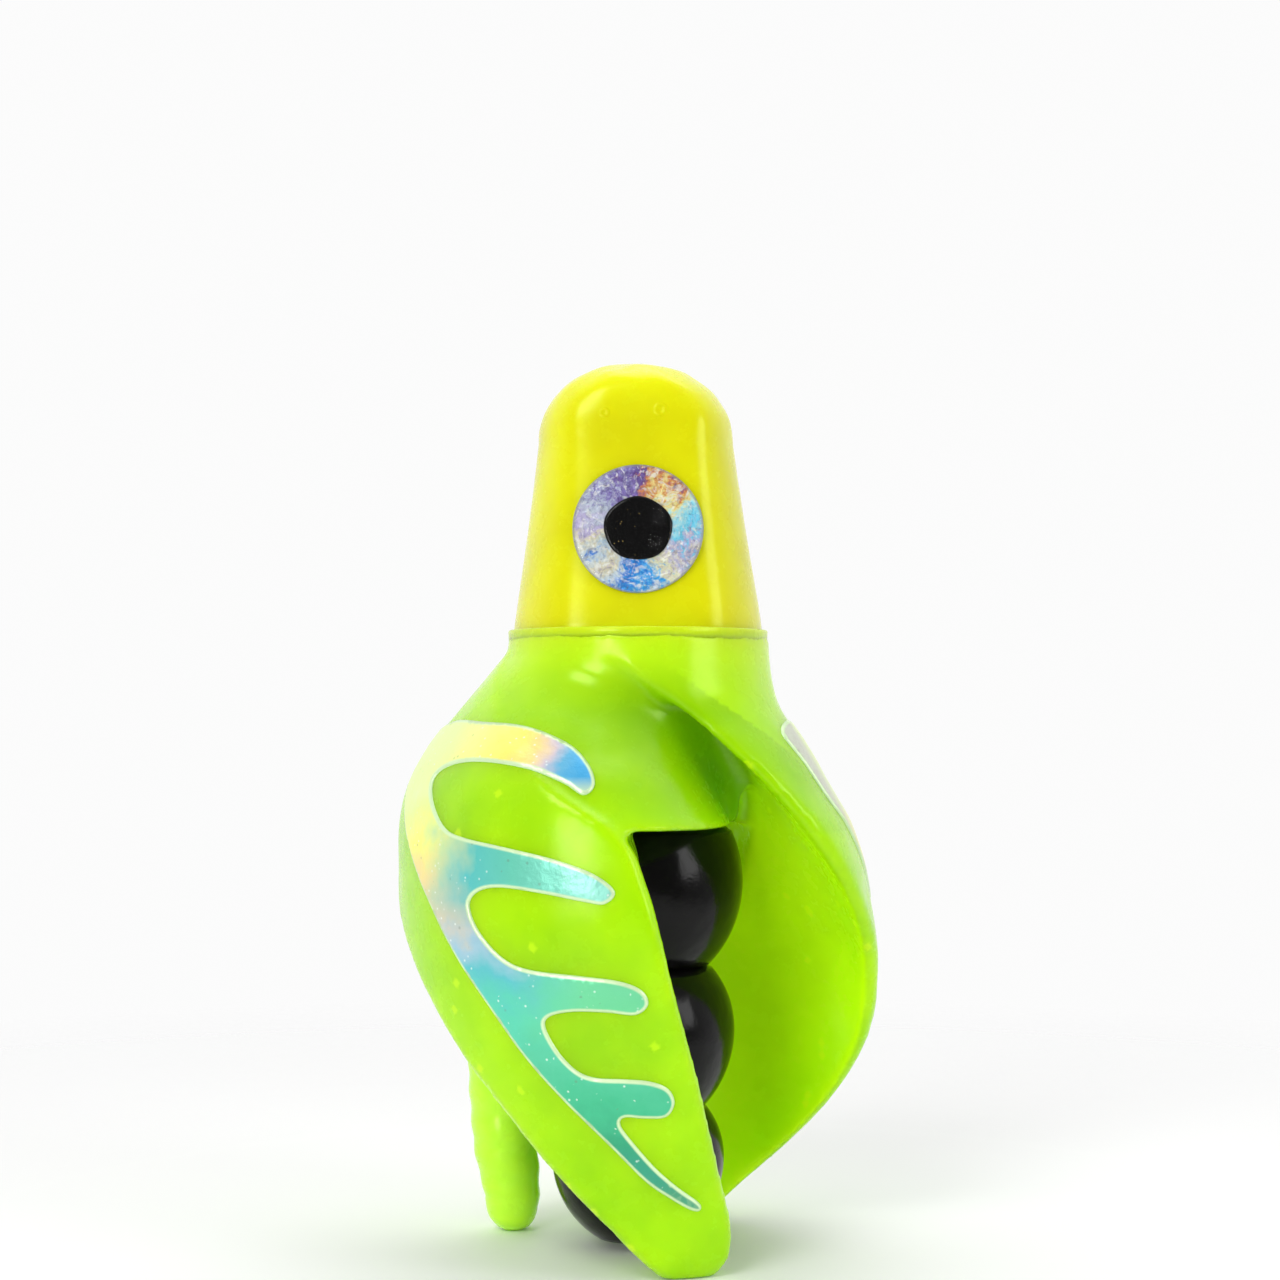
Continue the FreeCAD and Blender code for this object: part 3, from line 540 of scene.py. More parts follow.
def make_decal(name, tree, turn):
    """Raised foil laid on the wing: the outline is triangulated flat and dropped on the surface."""
    flat_per_degree = math.radians(1) * DECAL_FLAT_RADIUS
    outline = closed_curve([(azimuth * flat_per_degree, height) for azimuth, height in DECAL_OUTLINE], 5)
    edges = [(i, (i + 1) % len(outline)) for i in range(len(outline))]
    flat, _, faces, *_ = delaunay_2d_cdt(decal_points(outline), edges, [], 1, 1e-5)
    distances = [edge_distance(point, outline) for point in flat]
    tops = []
    unders = []
    for point, distance in zip(flat, distances):
        away = polar(60.0, point.x / flat_per_degree + turn, point.y) * MM
        towards = Vector((-away.x, -away.y, 0.0)).normalized()
        hit, normal, _, _ = tree.ray_cast(away, towards)
        tops.append(hit + normal * foil_rise(distance) * MM)
        unders.append(hit - normal * DECAL_DEPTH * MM)
    count = len(tops)
    skin = [tuple(face) for face in faces]
    skin += [tuple(index + count for index in reversed(face)) for face in faces]
    skin += [(b, a, a + count, b + count) for a, b in boundary_edges(faces)]
    mesh = bpy.data.meshes.new(name)
    mesh.from_pydata(tops + unders, [], skin)
    border = mesh.attributes.new("border", "FLOAT", "POINT")
    border.data.foreach_set("value", distances + distances)
    decal = new_object(name, mesh)
    face_outwards(decal, merge=False)
    return shade_smooth(decal)


def boundary_edges(faces):
    """Directed edges that belong to one face only."""
    seen = {}
    for face in faces:
        for a, b in zip(face, list(face[1:]) + [face[0]]):
            seen[(a, b)] = True
    return [edge for edge in seen if (edge[1], edge[0]) not in seen]


def inset_points(outline, distance):
    """Points a fixed distance inside the outline, where there is room for them."""
    out = []
    count = len(outline)
    area = sum(outline[i - 1].x * outline[i].y - outline[i].x * outline[i - 1].y for i in range(count))
    side = 1 if area > 0 else -1
    for index in range(count):
        along = outline[(index + 1) % count] - outline[index - 1]
        if along.length < 1e-6:
            continue
        normal = Vector((-along.y, along.x)).normalized() * side
        point = outline[index] + normal * distance
        if inside(point, outline) and edge_distance(point, outline) > distance * 0.93:
            out.append(point)
    return out


# ---------------------------------------------------------------- head and eyes

def facet_depth(height):
    """Distance of the sloping flat from the axis."""
    return FACET_BASE + (FACET_TOP - FACET_BASE) * (height - FACET_LOW) / (FACET_HIGH - FACET_LOW)


def head_radius(height):
    neck_height, neck_radius = HEAD_PROFILE[-1]
    if height <= neck_height:
        return blend_rows(HEAD_PROFILE, height)[0]
    rise = (height - neck_height) / (HEAD_TOP - neck_height)
    return neck_radius * max(0.0, 1 - rise ** 2.25) ** 0.5


def head_point(azimuth, height, shrink):
    """Point of the skin: the turned bullet and the flats, blended with a soft corner between them."""
    round_reach = head_radius(max(height, FACET_LOW)) + shrink
    flat_reach = (facet_depth(height) + shrink) / max(abs(math.cos(math.radians(azimuth))), 1e-3)
    reach = (round_reach ** -CORNER_SHARPNESS + flat_reach ** -CORNER_SHARPNESS) ** (-1 / CORNER_SHARPNESS)
    point = polar(reach, azimuth, height)
    point.x += -0.3 * max(0.0, height - 60) / 23
    crown = clamp((height - 73.0) / 4.0)
    lumps = 0.05 * noise.noise(point * 0.22) + 0.22 * crown * noise.noise(point * 0.4)
    return point + point.normalized() * lumps


def make_head():
    """Bullet of revolution pressed flat front and back, with soft corners and a blind bore."""
    segments = 144
    neck_height = HEAD_PROFILE[-1][0]
    levels = [(FACET_LOW, -0.45), (FACET_LOW + 0.02, -0.22), (FACET_LOW + 0.1, -0.07)]
    levels += [(height, 0.0) for height in spread(FACET_LOW + 0.3, neck_height, 46)]
    levels += [(neck_height + (HEAD_TOP - neck_height) * math.sin(math.radians(3 * step)), 0.0)
               for step in range(1, 30)]
    rings = [circle(HEAD_BORE_RADIUS, segments, HEAD_BORE_TOP), circle(HEAD_BORE_RADIUS, segments, FACET_LOW)]
    rings += [[head_point(360 * step / segments, height, shrink) for step in range(segments)]
              for height, shrink in levels]
    head = grid_mesh("head_cast", rings)
    face_outwards(head)
    keep_in_box(head, FACET_LOW, FACET_HIGH)
    return shade_smooth(head)


def eye_matrix(turn):
    """Lays a disc's local Z along the facet's outward normal."""
    lean = math.atan2(FACET_BASE - FACET_TOP, FACET_HIGH - FACET_LOW)
    seat = Matrix.Translation((0, -facet_depth(EYE_HEIGHT) * MM, EYE_HEIGHT * MM))
    return Matrix.Rotation(math.radians(turn), 4, "Z") @ seat @ Matrix.Rotation(math.pi / 2 - lean, 4, "X")


def disc_mesh(name, radius_at, surface, bottom, rings=28, segments=120):
    """Solid disc in local X, Y: radius_at(angle) is its edge, surface(x, y) its top, all in mm."""
    points = []
    faces = []
    for ring in range(1, rings + 1):
        for step in range(segments):
            angle = 2 * math.pi * step / segments
            reach = radius_at(angle) * ring / rings
            x, y = reach * math.cos(angle), reach * math.sin(angle)
            points.append(Vector((x, y, surface(x, y))))
    top_centre = len(points)
    points.append(Vector((0, 0, surface(0, 0))))
    edge_start = (rings - 1) * segments
    bottom_start = len(points)
    for step in range(segments):
        edge = points[edge_start + step]
        points.append(Vector((edge.x, edge.y, bottom)))
    bottom_centre = len(points)
    points.append(Vector((0, 0, bottom)))
    for step in range(segments):
        following = (step + 1) % segments
        faces.append((top_centre, step, following))
        for ring in range(rings - 1):
            a, b = ring * segments + step, ring * segments + following
            faces.append((a, a + segments, b + segments, b))
        faces.append((edge_start + step, bottom_start + step,
                      bottom_start + following, edge_start + following))
        faces.append((bottom_centre, bottom_start + following, bottom_start + step))
    mesh = bpy.data.meshes.new(name)
    mesh.from_pydata([point * MM for point in points], [], faces)
    obj = new_object(name, mesh)
    face_outwards(obj)
    return obj


def foil_crinkle(x, y, seed):
    """Folds in the eye foil: ridged noise that fades out at the rim."""
    reach = math.hypot(x, y)
    place = Vector((x * 0.55, y * 0.75, seed))
    ridge = 1 - abs(noise.noise(place * 1.3)) * 2.4
    fine = noise.noise(place * 4.2)
    fade = clamp((EYE_RADIUS - 0.15 - reach) / 0.5)
    return 0.14 + fade * (0.10 * ridge + 0.035 * fine)


def pupil_radius(angle, seed):
    return PUPIL_RADIUS + 0.09 * math.sin(2 * angle + seed) + 0.05 * math.sin(5 * angle)


def make_eye(side, turn, seed):
    """Foil disc, slightly uneven pupil and clear resin dome of one eye, laid on the head's flat."""
    place = eye_matrix(turn)
    foil = disc_mesh(f"{side}_eye_foil_disc", lambda angle: EYE_RADIUS,
                     lambda x, y: foil_crinkle(x, y, seed), -0.12, rings=60, segments=200)
    pupil = disc_mesh(f"{side}_eye_pupil_disc", lambda angle: pupil_radius(angle, seed),
                      lambda x, y: 0.36 - 0.05 * (math.hypot(x, y) / PUPIL_RADIUS) ** 6, 0.1, rings=12)
    dome = disc_mesh(f"{side}_eye_resin", lambda angle: EYE_RADIUS - 0.02,
                     lambda x, y: 0.44 + 0.26 * (1 - (math.hypot(x, y) / EYE_RADIUS) ** 2), 0.41, rings=16)
    for obj in (foil, pupil, dome):
        obj.data.transform(place)
        obj.data.update()
        shade_smooth(obj)
    return foil, pupil, dome


# ---------------------------------------------------------------- core

def quarter_arc(foot, crown, steps):
    """Heights and radii on the arc from foot that runs along Z at crown."""
    drop, inset = crown[0] - foot[0], crown[1] - foot[1]
    radius = (inset ** 2 + drop ** 2) / (2 * inset)
    centre = crown[1] - radius
    out = []
    for step in range(steps):
        height = foot[0] + drop * step / steps
        out.append((height, centre + math.sqrt(radius ** 2 - (crown[0] - height) ** 2)))
    return out


def make_bead(node, bottom, crown, top):
    """One bulge of the core, with slightly eased rims and a pocket for the nut in the lowest."""
    outside = quarter_arc(bottom, crown, 22)
    outside += [crown] + list(reversed(quarter_arc(top, crown, 16)))
    profile = outside[:-1] + [(top[0] - 0.25, top[1] - 0.02), (top[0], top[1] - 0.3),
                              (top[0], SPINDLE_RADIUS)]
    if node == "core_bead_3":
        pocket_height, pocket_radius = NUT_POCKET
        profile += [(pocket_height, SPINDLE_RADIUS), (pocket_height, pocket_radius),
                    (bottom[0], pocket_radius)]
    else:
        profile += [(bottom[0], SPINDLE_RADIUS)]
    bead = lathe(node + "_moulded", profile, 128)
    return shade_smooth(bead)


# ---------------------------------------------------------------- materials

class Nodes:
    """Short-hand for building one node material."""

    def __init__(self, name):
        self.material = bpy.data.materials.new(name)
        self.material.use_nodes = True
        self.tree = self.material.node_tree
        self.shader = self.tree.nodes["Principled BSDF"]

    def add(self, kind, settings=None, **inputs):
        node = self.tree.nodes.new(kind)
        for key, value in (settings or {}).items():
            setattr(node, key, value)
        for key, value in inputs.items():
            self.feed(node, key.replace("_", " "), value)
        return node

    def feed(self, node, key, value):
        socket = node.inputs[key]
        if isinstance(value, bpy.types.NodeSocket):
            self.tree.links.new(value, socket)
        else:
            socket.default_value = value

    def place(self):
        return self.add("ShaderNodeTexCoord").outputs["Object"]

    def noise(self, scale, detail=2.0, roughness=0.5, distortion=0.0):
        node = self.add("ShaderNodeTexNoise", Vector=self.place(), Scale=scale, Detail=detail,
                        Roughness=roughness, Distortion=distortion)
        return node.outputs["Fac"]

    def ramp(self, factor, stops):
        node = self.add("ShaderNodeValToRGB", Fac=factor)
        elements = node.color_ramp.elements
        while len(elements) < len(stops):
            elements.new(0.5)
        for element, (position, colour) in zip(elements, stops):
            element.position = position
            element.color = (*colour, 1.0)
        return node.outputs["Color"]

    def range(self, value, low, high, to_low=0.0, to_high=1.0):
        node = self.add("ShaderNodeMapRange", Value=value)
        self.feed(node, "From Min", low)
        self.feed(node, "From Max", high)
        self.feed(node, "To Min", to_low)
        self.feed(node, "To Max", to_high)
        return node.outputs["Result"]

    def math(self, operation, first, second=0.0):
        node = self.add("ShaderNodeMath", {"operation": operation})
        self.feed(node, 0, first)
        self.feed(node, 1, second)
        return node.outputs[0]

    def mix(self, factor, first, second):
        """Blend of two colours, through the factor and colour sockets of the mix node."""
        node = self.add("ShaderNodeMix", {"data_type": "RGBA"})
        self.feed(node, 0, factor)
        for index, value in ((6, first), (7, second)):
            self.feed(node, index, value if isinstance(value, bpy.types.NodeSocket) else (*value, 1.0))
        return node.outputs[2]

    def bump(self, height, strength, distance, previous=None):
        node = self.add("ShaderNodeBump", Height=height, Strength=strength, Distance=distance)
        if previous:
            self.feed(node, "Normal", previous)
        return node.outputs["Normal"]

    def height_and_azimuth(self):
        """Height in millimetres and azimuth in degrees, from the object's own frame."""
        split = self.add("ShaderNodeSeparateXYZ", Vector=self.place())
        height = self.math("MULTIPLY", split.outputs["Z"], 1000.0)
        back = self.math("MULTIPLY", split.outputs["Y"], -1.0)
        turn = self.math("ARCTAN2", split.outputs["X"], back)
        return height, self.math("MULTIPLY", turn, math.degrees(1))

    def set(self, **inputs):
        for key, value in inputs.items():
            self.feed(self.shader, key.replace("_", " "), value)


def srgb(red, green, blue):
    """Linear colour from the 0 to 255 values that a screen shows."""
    shares = [value / 255 for value in (red, green, blue)]
    return tuple(share / 12.92 if share <= 0.04045 else ((share + 0.055) / 1.055) ** 2.4 for share in shares)


def add_bubble(n, skin, spot, size):
    """A tiny raised ring in the skin with a dent in its middle."""
    offset = n.add("ShaderNodeVectorMath", {"operation": "DISTANCE"}, Vector=n.place())
    n.feed(offset, 1, spot)
    distance = offset.outputs["Value"]
    rim = n.add("ShaderNodeMapRange", {"interpolation_type": "SMOOTHERSTEP"}, Value=distance)
    n.feed(rim, "From Min", size)
    n.feed(rim, "From Max", 0.55 * size)
    dent = n.range(distance, 0.5 * size, 0.2 * size)
    return n.bump(n.math("SUBTRACT", rim.outputs["Result"], dent), 0.4, 0.00015, skin)


def cast_plastic(name, tints, glow_from, glow_to, ripple=0.0, bubbles=()):
    """Glossy translucent cast plastic: cloudy colour with painted light towards the top, on thin edges and on
    inner faces, a painted glow on inner faces, painted shade in the valleys, soft waves in the skin and tiny
    bubbles.
    """
    shade, deep, plain, light = [srgb(*tint) for tint in tints]
    n = Nodes(name)
    height, _ = n.height_and_azimuth()
    cloud = n.noise(110.0, 3.0, 0.55)
    colour = n.ramp(cloud, [(0.3, deep), (0.62, plain)])
    # Painted light: the colour brightens towards the top over the given heights.
    glow = n.range(height, glow_from, glow_to)
    colour = n.mix(n.math("MULTIPLY", glow, 0.75), colour, light)
    hollow = n.add("ShaderNodeAttribute", {"attribute_name": "hollow"}).outputs["Fac"]
    # Painted shade: points deep in a valley between the wings are darkened towards the shade tint.
    colour = n.mix(n.range(hollow, 0.0, -1.0, 0.0, 0.85), colour, shade)
    # Painted light: faces turned towards the axis, inside the flutes, are brightened towards the light tint.
    inner = n.range(hollow, 0.15, 0.9)
    colour = n.mix(n.math("MULTIPLY", inner, 0.35), colour, light)
    # Painted light: thin, sharp edges are brightened through their pointiness.
    edges = n.add("ShaderNodeNewGeometry").outputs["Pointiness"]
    colour = n.mix(n.range(edges, 0.55, 0.63, 0.0, 0.55), colour, light)
    skin = n.bump(n.noise(150.0, 2.0, 0.45), 0.35, 0.0006)
    skin = n.bump(n.noise(900.0, 3.0, 0.6), 0.10, 0.0002, skin)
    for spot, size in bubbles:
        skin = add_bubble(n, skin, spot, size)
    if ripple:
        wave = n.add("ShaderNodeTexWave", {"bands_direction": "Z"}, Vector=n.place(), Scale=ripple,
                     Distortion=3.0, Detail=2.0)
        skin = n.bump(wave.outputs["Fac"], 0.16, 0.0003, skin)
    rough = n.range(n.noise(420.0, 4.0, 0.6), 0.3, 0.7, 0.17, 0.34)
    n.set(Base_Color=colour, Roughness=rough, Normal=skin, IOR=1.49)
    n.set(Subsurface_Weight=0.55, Subsurface_Radius=(0.8, 1.0, 0.1), Subsurface_Scale=0.005)
    n.set(Specular_IOR_Level=0.4, Specular_Tint=(0.75, 1.0, 0.15, 1.0))
    n.set(Coat_Weight=0.25, Coat_Roughness=0.2)
    # Painted glow: the inner faces also emit a little of the darker body tint, standing in for light that
    # comes through the plastic.
    n.set(Emission_Color=(*deep, 1.0), Emission_Strength=n.math("MULTIPLY", inner, 0.33))
    return n.material


def rainbow_bands(n, height, azimuth):
    """Colours that change along the decal's spine, with tints of their own on three feathers."""
    drift = n.range(n.noise(260.0, 3.0, 0.6), 0.3, 0.7, -1.4, 1.4)
    level = n.range(n.math("ADD", height, drift), 5.0, 50.0)
    spine = n.ramp(level, [
        (0.03, srgb(84, 160, 122)), (0.10, srgb(48, 160, 132)), (0.16, srgb(44, 164, 122)),
        (0.24, srgb(62, 190, 142)), (0.33, srgb(84, 200, 158)), (0.41, srgb(86, 210, 176)),
        (0.49, srgb(88, 194, 200)), (0.55, srgb(160, 200, 216)), (0.61, srgb(224, 206, 172)),
        (0.67, srgb(244, 222, 142)), (0.74, srgb(252, 250, 116)), (0.81, srgb(230, 250, 146)),
        (0.90, srgb(232, 252, 186))])
    across = n.range(n.math("ADD", azimuth, n.math("MULTIPLY", drift, 2.0)), -85.0, -10.0)
    top_feather = n.ramp(across, [
        (0.30, srgb(230, 252, 160)), (0.50, srgb(246, 254, 142)), (0.66, srgb(254, 240, 112)),
        (0.75, srgb(252, 222, 140)), (0.81, srgb(214, 200, 206)), (0.87, srgb(96, 178, 216)),
        (0.94, srgb(62, 168, 222))])
    colour = n.mix(n.range(height, 42.5, 44.5), spine, top_feather)
    wavy = n.math("ADD", azimuth, n.math("MULTIPLY", drift, 3.0))
    second = n.math("MULTIPLY", n.range(wavy, -58.0, -38.0), n.range(height, 31.0, 33.5))
    second = n.math("MULTIPLY", second, n.range(height, 41.0, 39.5))
    colour = n.mix(second, colour, n.ramp(n.range(azimuth, -45.0, -8.0), [
        (0.0, srgb(78, 192, 198)), (0.45, srgb(104, 206, 180)), (1.0, srgb(136, 212, 192))]))
    third = n.math("MULTIPLY", n.range(azimuth, -30.0, -12.0), n.range(height, 21.0, 22.5))
    third = n.math("MULTIPLY", third, n.range(height, 31.0, 29.0))
    return n.mix(n.math("MULTIPLY", third, 0.85), colour, srgb(108, 212, 144))


def sparkle(n, colour):
    """Pin-prick glints and a few small dark specks over a foil's colour."""
    cells = n.add("ShaderNodeTexVoronoi", Vector=n.place(), Scale=1500.0)
    spark = n.range(cells.outputs["Distance"], 0.05, 0.22, 1.0, 0.0)
    bright = n.math("MULTIPLY", spark, n.math("GREATER_THAN", n.noise(700.0, 2.0), 0.56))
    colour = n.mix(n.math("MULTIPLY", bright, 0.75), colour, srgb(240, 250, 245))
    specks = n.add("ShaderNodeTexVoronoi", Vector=n.place(), Scale=1100.0)
    speck = n.range(specks.outputs["Distance"], 0.08, 0.2, 1.0, 0.0)
    dark = n.math("MULTIPLY", speck, n.math("GREATER_THAN", n.noise(500.0, 2.0, 0.5, 0.4), 0.60))
    return n.mix(n.math("MULTIPLY", dark, 0.4), colour, srgb(105, 120, 95))


def holographic_foil(name, turn):
    """Wing foil: rainbow bands that follow the wing, sparkles and a pale raised border."""
    n = Nodes(name)
    height, azimuth = n.height_and_azimuth()
    if turn:
        azimuth = n.math("WRAP", n.math("SUBTRACT", azimuth, turn), 180.0)
        n.feed(azimuth.node, 2, -180.0)
    colour = sparkle(n, rainbow_bands(n, height, azimuth))
    if turn:
        # The far foil's upper end, beyond -60 degrees from its turn, fades to a patchy grey-mauve.
        mottle = n.noise(700.0, 5.0, 0.7, 3.0)
        grey_end = n.ramp(mottle, [(0.2, srgb(168, 158, 162)), (0.7, srgb(204, 212, 200))])
        colour = n.mix(n.range(azimuth, -60.0, -72.0, 0.0, 0.85), colour, grey_end)
    border = n.add("ShaderNodeAttribute", {"attribute_name": "border"}).outputs["Fac"]
    colour = n.mix(n.range(border, 0.20, 0.36, 1.0, 0.0), colour, srgb(214, 240, 190))
    skin = n.bump(n.noise(1500.0, 3.0, 0.6), 0.3, 0.0002)
    skin = n.bump(n.noise(330.0, 2.0, 0.5), 0.3, 0.0005, skin)
    n.set(Base_Color=colour, Metallic=0.25, Roughness=0.34, Normal=skin)
    n.set(Coat_Weight=0.22, Coat_Roughness=0.1)
    return n.material


def eye_foil(name):
    """Crinkled eye foil: sectors of violet, orange, cyan, blue and silver with sharp folds."""
    n = Nodes(name)
    split = n.add("ShaderNodeSeparateXYZ", Vector=n.place())
    flat = n.add("ShaderNodeCombineXYZ", X=split.outputs["X"],
                 Y=n.math("SUBTRACT", split.outputs["Z"], EYE_HEIGHT * MM))
    around = n.add("ShaderNodeTexGradient", {"gradient_type": "RADIAL"}, Vector=flat.outputs["Vector"])
    coarse = n.range(n.noise(210.0, 5.0, 0.66, 1.2), 0.25, 0.75, -0.11, 0.11)
    fine = n.range(n.noise(900.0, 4.0, 0.7, 2.0), 0.25, 0.75, -0.07, 0.07)
    sector = n.math("ADD", n.math("ADD", around.outputs["Fac"], coarse), fine)
    colour = n.ramp(sector, [
        (0.00, srgb(176, 168, 206)), (0.07, srgb(214, 208, 176)), (0.15, srgb(188, 208, 222)),
        (0.21, srgb(26, 116, 214)), (0.27, srgb(60, 168, 236)), (0.33, srgb(228, 226, 180)),
        (0.41, srgb(184, 178, 214)), (0.47, srgb(96, 206, 238)), (0.55, srgb(170, 228, 236)),
        (0.62, srgb(238, 224, 140)), (0.68, srgb(214, 132, 62)), (0.74, srgb(96, 66, 140)),
        (0.82, srgb(124, 112, 178)), (0.90, srgb(190, 202, 216)), (1.00, srgb(176, 168, 206))])
    silver = n.range(n.noise(520.0, 5.0, 0.7, 2.5), 0.52, 0.60)
    colour = n.mix(n.math("MULTIPLY", silver, 0.7), colour, srgb(236, 238, 232))
    shadow = n.range(n.noise(680.0, 5.0, 0.7, 3.0), 0.44, 0.36)
    colour = n.mix(n.math("MULTIPLY", shadow, 0.55), colour, srgb(96, 92, 128))
    reach = n.add("ShaderNodeVectorMath", {"operation": "LENGTH"}, Vector=flat.outputs["Vector"])
    rim = n.range(reach.outputs["Value"], 5.72 * MM, 5.86 * MM)
    colour = n.mix(n.math("MULTIPLY", rim, 0.7), colour, srgb(150, 152, 140))
    folds = n.bump(n.noise(230.0, 3.0, 0.6, 1.5), 0.6, 0.0012)
    folds = n.bump(n.noise(1100.0, 4.0, 0.65, 2.0), 0.5, 0.0004, folds)
    n.set(Base_Color=colour, Metallic=0.3, Roughness=0.26, Normal=folds)
    n.set(Coat_Weight=0.25, Coat_Roughness=0.06)
    return n.material


def pupil_ink(name):
    """Black ink with a few dull gold glints."""
    n = Nodes(name)
    cells = n.add("ShaderNodeTexVoronoi", Vector=n.place(), Scale=2600.0)
    glint = n.range(cells.outputs["Distance"], 0.05, 0.2, 1.0, 0.0)
    rare = n.math("GREATER_THAN", n.noise(1500.0, 2.0), 0.60)
    colour = n.mix(n.math("MULTIPLY", glint, rare), (0.003, 0.003, 0.003), srgb(150, 130, 70))
    n.set(Base_Color=colour, Roughness=0.16, Specular_IOR_Level=0.25,
          Normal=n.bump(n.noise(800.0), 0.15, 0.0002))
    return n.material


def clear_resin(name):
    """Barely visible resin that adds only a soft shine."""
    n = Nodes(name)
    n.set(Base_Color=(0.0, 0.0, 0.0, 1.0), Alpha=0.04, IOR=1.45,
          Roughness=n.range(n.noise(600.0), 0.3, 0.7, 0.02, 0.08))
    return n.material


def moulded_black(name):
    """Glossy black core: faint grey blotches, soft scuffs and a slightly uneven skin."""
    n = Nodes(name)
    blotch = n.noise(210.0, 4.0, 0.6, 0.6)
    colour = n.ramp(blotch, [(0.35, (0.001, 0.001, 0.001)), (0.72, (0.005, 0.004, 0.005))])
    skin = n.bump(n.noise(170.0, 2.0, 0.4), 0.4, 0.0008)
    skin = n.bump(n.noise(1200.0, 4.0, 0.65), 0.16, 0.0002, skin)
    rough = n.range(n.noise(350.0, 4.0, 0.6), 0.3, 0.7, 0.08, 0.2)
    n.set(Base_Color=colour, Roughness=rough, Normal=skin, Specular_IOR_Level=0.17)
    return n.material


def machined_metal(name, colour, rough, turned_marks=True):
    """Metal with uneven tone and fine rings from turning, or broad ones where it isn't turned."""
    n = Nodes(name)
    tone = n.ramp(n.noise(500.0, 4.0, 0.6), [(0.3, tuple(c * 0.82 for c in colour)), (0.7, colour)])
    wave = n.add("ShaderNodeTexWave", {"wave_type": "RINGS", "rings_direction": "Z"}, Vector=n.place(),
                 Scale=1400.0 if turned_marks else 300.0, Distortion=1.5, Detail=2.0)
    polish = n.range(n.noise(700.0), 0.3, 0.7, rough * 0.8, rough * 1.3)
    n.set(Base_Color=tone, Metallic=1.0, Roughness=polish, Normal=n.bump(wave.outputs["Fac"], 0.15, 0.0001))
    return n.material


def paint(obj, material):
    obj.data.materials.clear()
    obj.data.materials.append(material)


# ---------------------------------------------------------------- assembly

def install(obj, body, slot, material, *nodes):
    paint(obj, material)
    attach(obj, body)
    if nodes:
        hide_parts(*nodes)


def build_stand():
    # Painted light brightens the lime casting towards the collar's top, from 50 to 57.5 mm, and the leg over
    # its whole height.
    lime = cast_plastic("lime_cast", LIME_TINTS, 50.0, 57.5, bubbles=LIME_BUBBLES)
    leg_lime = cast_plastic("lime_leg_cast", LEG_TINTS, 0.0, 60.0, ripple=190.0)
    body = make_winged_body()
    install(body, "winged_stand", "lime_plastic", lime, "winged_body")
    install(make_collar_lip(), "winged_stand", "lime_plastic", lime)
    tree = BVHTree.FromObject(body, bpy.context.evaluated_depsgraph_get())
    install(make_rear_leg(), "winged_stand", "lime_leg", leg_lime, "rear_leg")
    for side, turn in (("near", 0.0), ("far", FAR_DECAL_TURN)):
        decal = make_decal(f"{side}_wing_foil", tree, turn)
        keep_in_box(decal, 0.0, HUB_TOP)
        foil = holographic_foil(f"{side}_holo_foil", turn)
        install(decal, "winged_stand", "holo_foil", foil, f"{side}_wing_decal")


def build_spinner():
    # Painted light brightens the head's crown from 77 mm up.
    yellow = cast_plastic("yellow_cast", YELLOW_TINTS, 77.0, 84.0, bubbles=HEAD_BUBBLES)
    install(make_head(), "spinner", "yellow_plastic", yellow, "head")
    foil, ink, resin = eye_foil("eye_holo_foil"), pupil_ink("pupil_ink"), clear_resin("eye_clear_resin")
    for side, turn, seed in (("front", 0.0, 1.7), ("rear", 180.0, 6.1)):
        disc, pupil, dome = make_eye(side, turn, seed)
        install(disc, "spinner", "eye_foil", foil, f"{side}_eye_foil")
        install(pupil, "spinner", "pupil_black", ink, f"{side}_eye_pupil")
        install(dome, "spinner", "clear_resin", resin, f"{side}_eye_dome")
    black = moulded_black("core_black_moulded")
    for node, (bottom, crown, top) in CORE_BEADS.items():
        install(make_bead(node, bottom, crown, top), "spinner", "core_black", black, node)


def finish_metal_parts():
    """Bearings, spindle and fasteners keep their designed shapes and get machined finishes."""
    steel = machined_metal("turned_steel_finish", (0.56, 0.57, 0.58), 0.30)
    ground = machined_metal("ground_steel_finish", (0.66, 0.67, 0.68), 0.16)
    dark = machined_metal("oiled_steel_finish", (0.30, 0.31, 0.33), 0.34, turned_marks=False)
    brass = machined_metal("brass_finish", (0.78, 0.58, 0.24), 0.24)
    finishes = {
        "bearing_sleeve": steel, "bearing_spacer": steel, "upper_spacer_washer": steel,
        "lower_thrust_washer": steel, "spindle": ground, "head_insert": brass, "end_nut": dark,
        "retaining_ring": dark,
    }
    for side in ("lower", "upper"):
        for piece in ("outer_race", "inner_race", "bearing_shields", "bearing_balls"):
            finishes[f"{side}_{piece}"] = ground
    for node, finish in finishes.items():
        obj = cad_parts[node]
        for slot in obj.material_slots:
            slot.material = finish


# ---------------------------------------------------------------- camera, light and floor

def build_camera():
    """Camera level with the wings, with a long lens."""
    data = bpy.data.cameras.new("camera")
    data.lens = 67.5
    data.sensor_width = 36.0
    data.clip_start = 0.01
    camera = new_object("camera", data)
    camera.location = (0.0, -0.2278, 0.0494)
    tilt_up, turn_right = 1.91, 0.048
    camera.rotation_euler = (math.radians(90 + tilt_up), 0.0, math.radians(-turn_right))
    bpy.context.scene.camera = camera


def area_light(name, place, target, size, power):
    data = bpy.data.lights.new(name, "AREA")
    data.shape = "RECTANGLE"
    data.size, data.size_y = size
    data.energy = power
    lamp = new_object(name, data)
    lamp.location = place
    lamp.rotation_mode = "QUATERNION"
    lamp.rotation_quaternion = (Vector(target) - Vector(place)).to_track_quat("-Z", "Y")


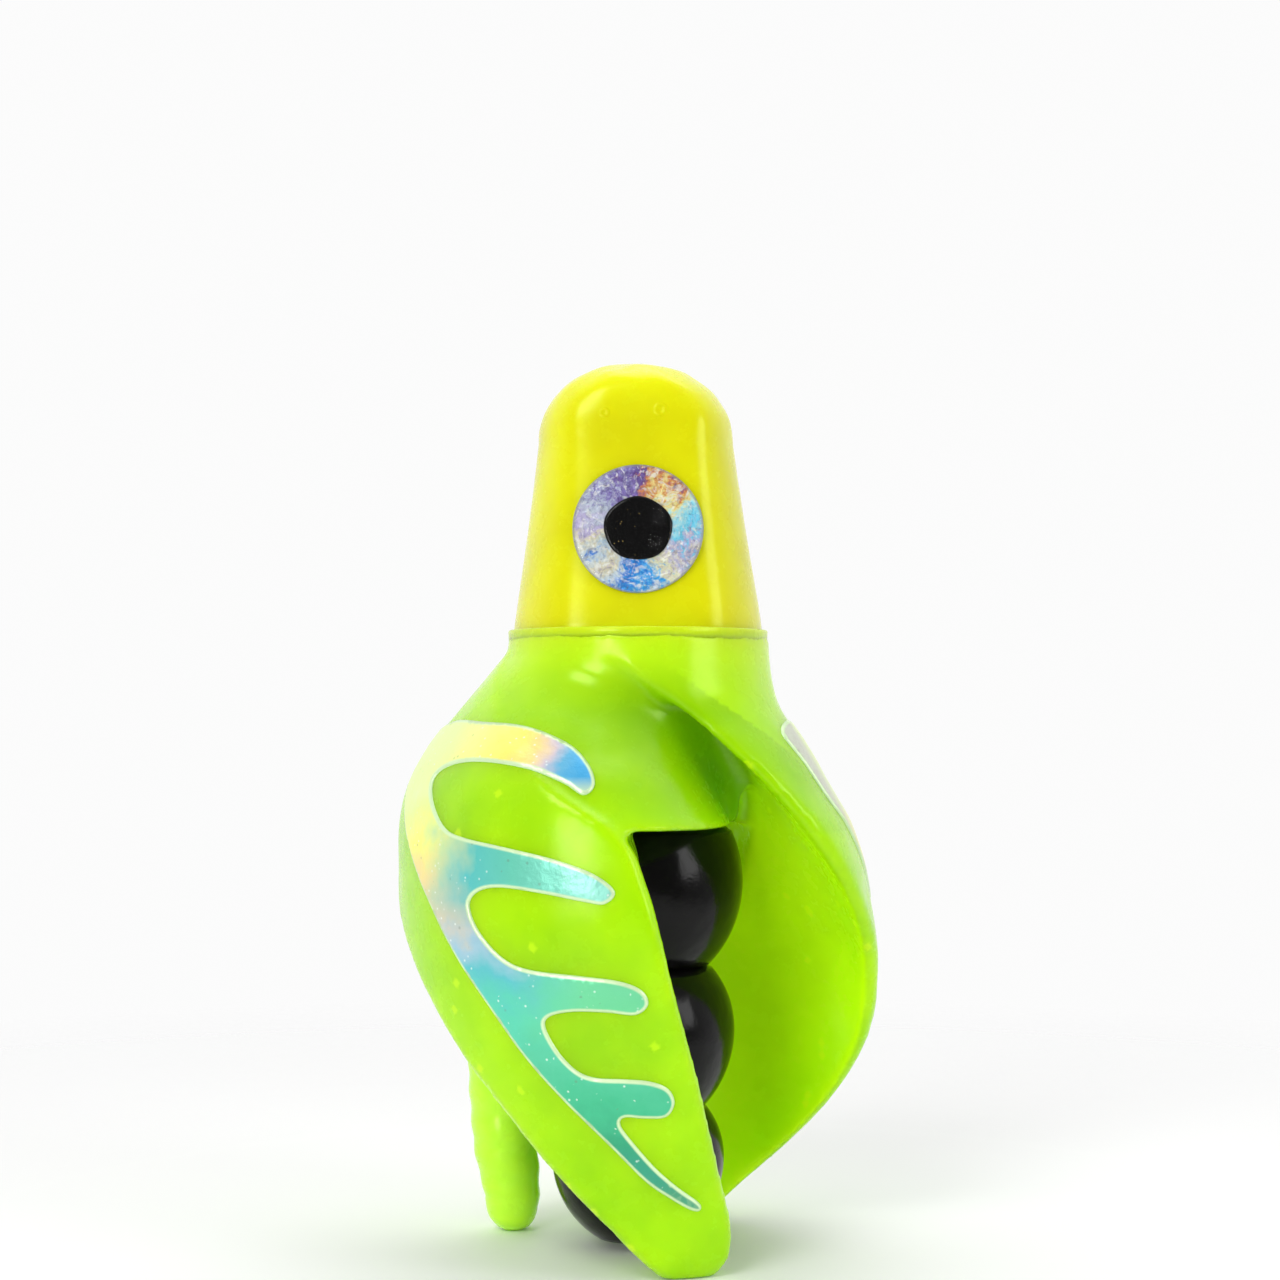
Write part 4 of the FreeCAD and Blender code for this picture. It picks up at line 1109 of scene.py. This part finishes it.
def light_studio(tree):
    """White backdrop; the light it gives is dimmer in front, so that glossy faces keep their colour."""
    bright, dim = 0.97, 0.22
    direction = tree.nodes.new("ShaderNodeTexCoord")
    split = tree.nodes.new("ShaderNodeSeparateXYZ")
    ramp = tree.nodes.new("ShaderNodeMapRange")
    for socket, value in (("From Min", -0.75), ("From Max", 0.25), ("To Min", dim), ("To Max", bright)):
        ramp.inputs[socket].default_value = value
    rays = tree.nodes.new("ShaderNodeLightPath")
    backdrop = tree.nodes.new("ShaderNodeMix")
    backdrop.inputs["B"].default_value = bright
    background = tree.nodes["Background"]
    background.inputs["Color"].default_value = (1.0, 1.0, 1.0, 1.0)
    tree.links.new(direction.outputs["Generated"], split.inputs["Vector"])
    tree.links.new(split.outputs["Y"], ramp.inputs["Value"])
    tree.links.new(rays.outputs["Is Camera Ray"], backdrop.inputs["Factor"])
    tree.links.new(ramp.outputs["Result"], backdrop.inputs["A"])
    tree.links.new(backdrop.outputs["Result"], background.inputs["Strength"])


def make_floor():
    """Wide pale floor that fades into the backdrop."""
    reach = 6.0
    mesh = bpy.data.meshes.new("studio_floor")
    mesh.from_pydata([(-reach, -reach, 0), (reach, -reach, 0), (reach, reach, 0), (-reach, reach, 0)], [],
                     [(0, 1, 2, 3)])
    floor = new_object("studio_floor", mesh)
    n = Nodes("pale_floor")
    fade = n.add("ShaderNodeTexGradient", {"gradient_type": "SPHERICAL"}, Vector=n.place())
    n.set(Alpha=n.range(fade.outputs["Fac"], 0.80, 0.93))
    tone = n.ramp(n.noise(3.0), [(0.3, (0.90, 0.90, 0.90)), (0.7, (0.93, 0.93, 0.93))])
    n.set(Base_Color=tone, Roughness=0.6)
    paint(floor, n.material)
    return floor


def build_stage():
    scene = bpy.context.scene
    scene.view_settings.view_transform = "Standard"
    world = bpy.data.worlds.new("studio")
    world.use_nodes = True
    light_studio(world.node_tree)
    scene.world = world
    make_floor()
    middle = (0.0, 0.0, 0.045)
    area_light("key_light", (-0.16, -0.30, 0.34), middle, (0.16, 0.16), 0.62)
    area_light("fill_light", (0.34, -0.20, 0.16), middle, (0.16, 0.20), 0.42)
    area_light("front_light", (-0.25, -0.50, 0.11), middle, (0.16, 0.24), 1.15)
    area_light("top_light", (0.05, 0.10, 0.42), middle, (0.25, 0.25), 0.30)


build_camera()
build_stage()
build_stand()
build_spinner()
finish_metal_parts()
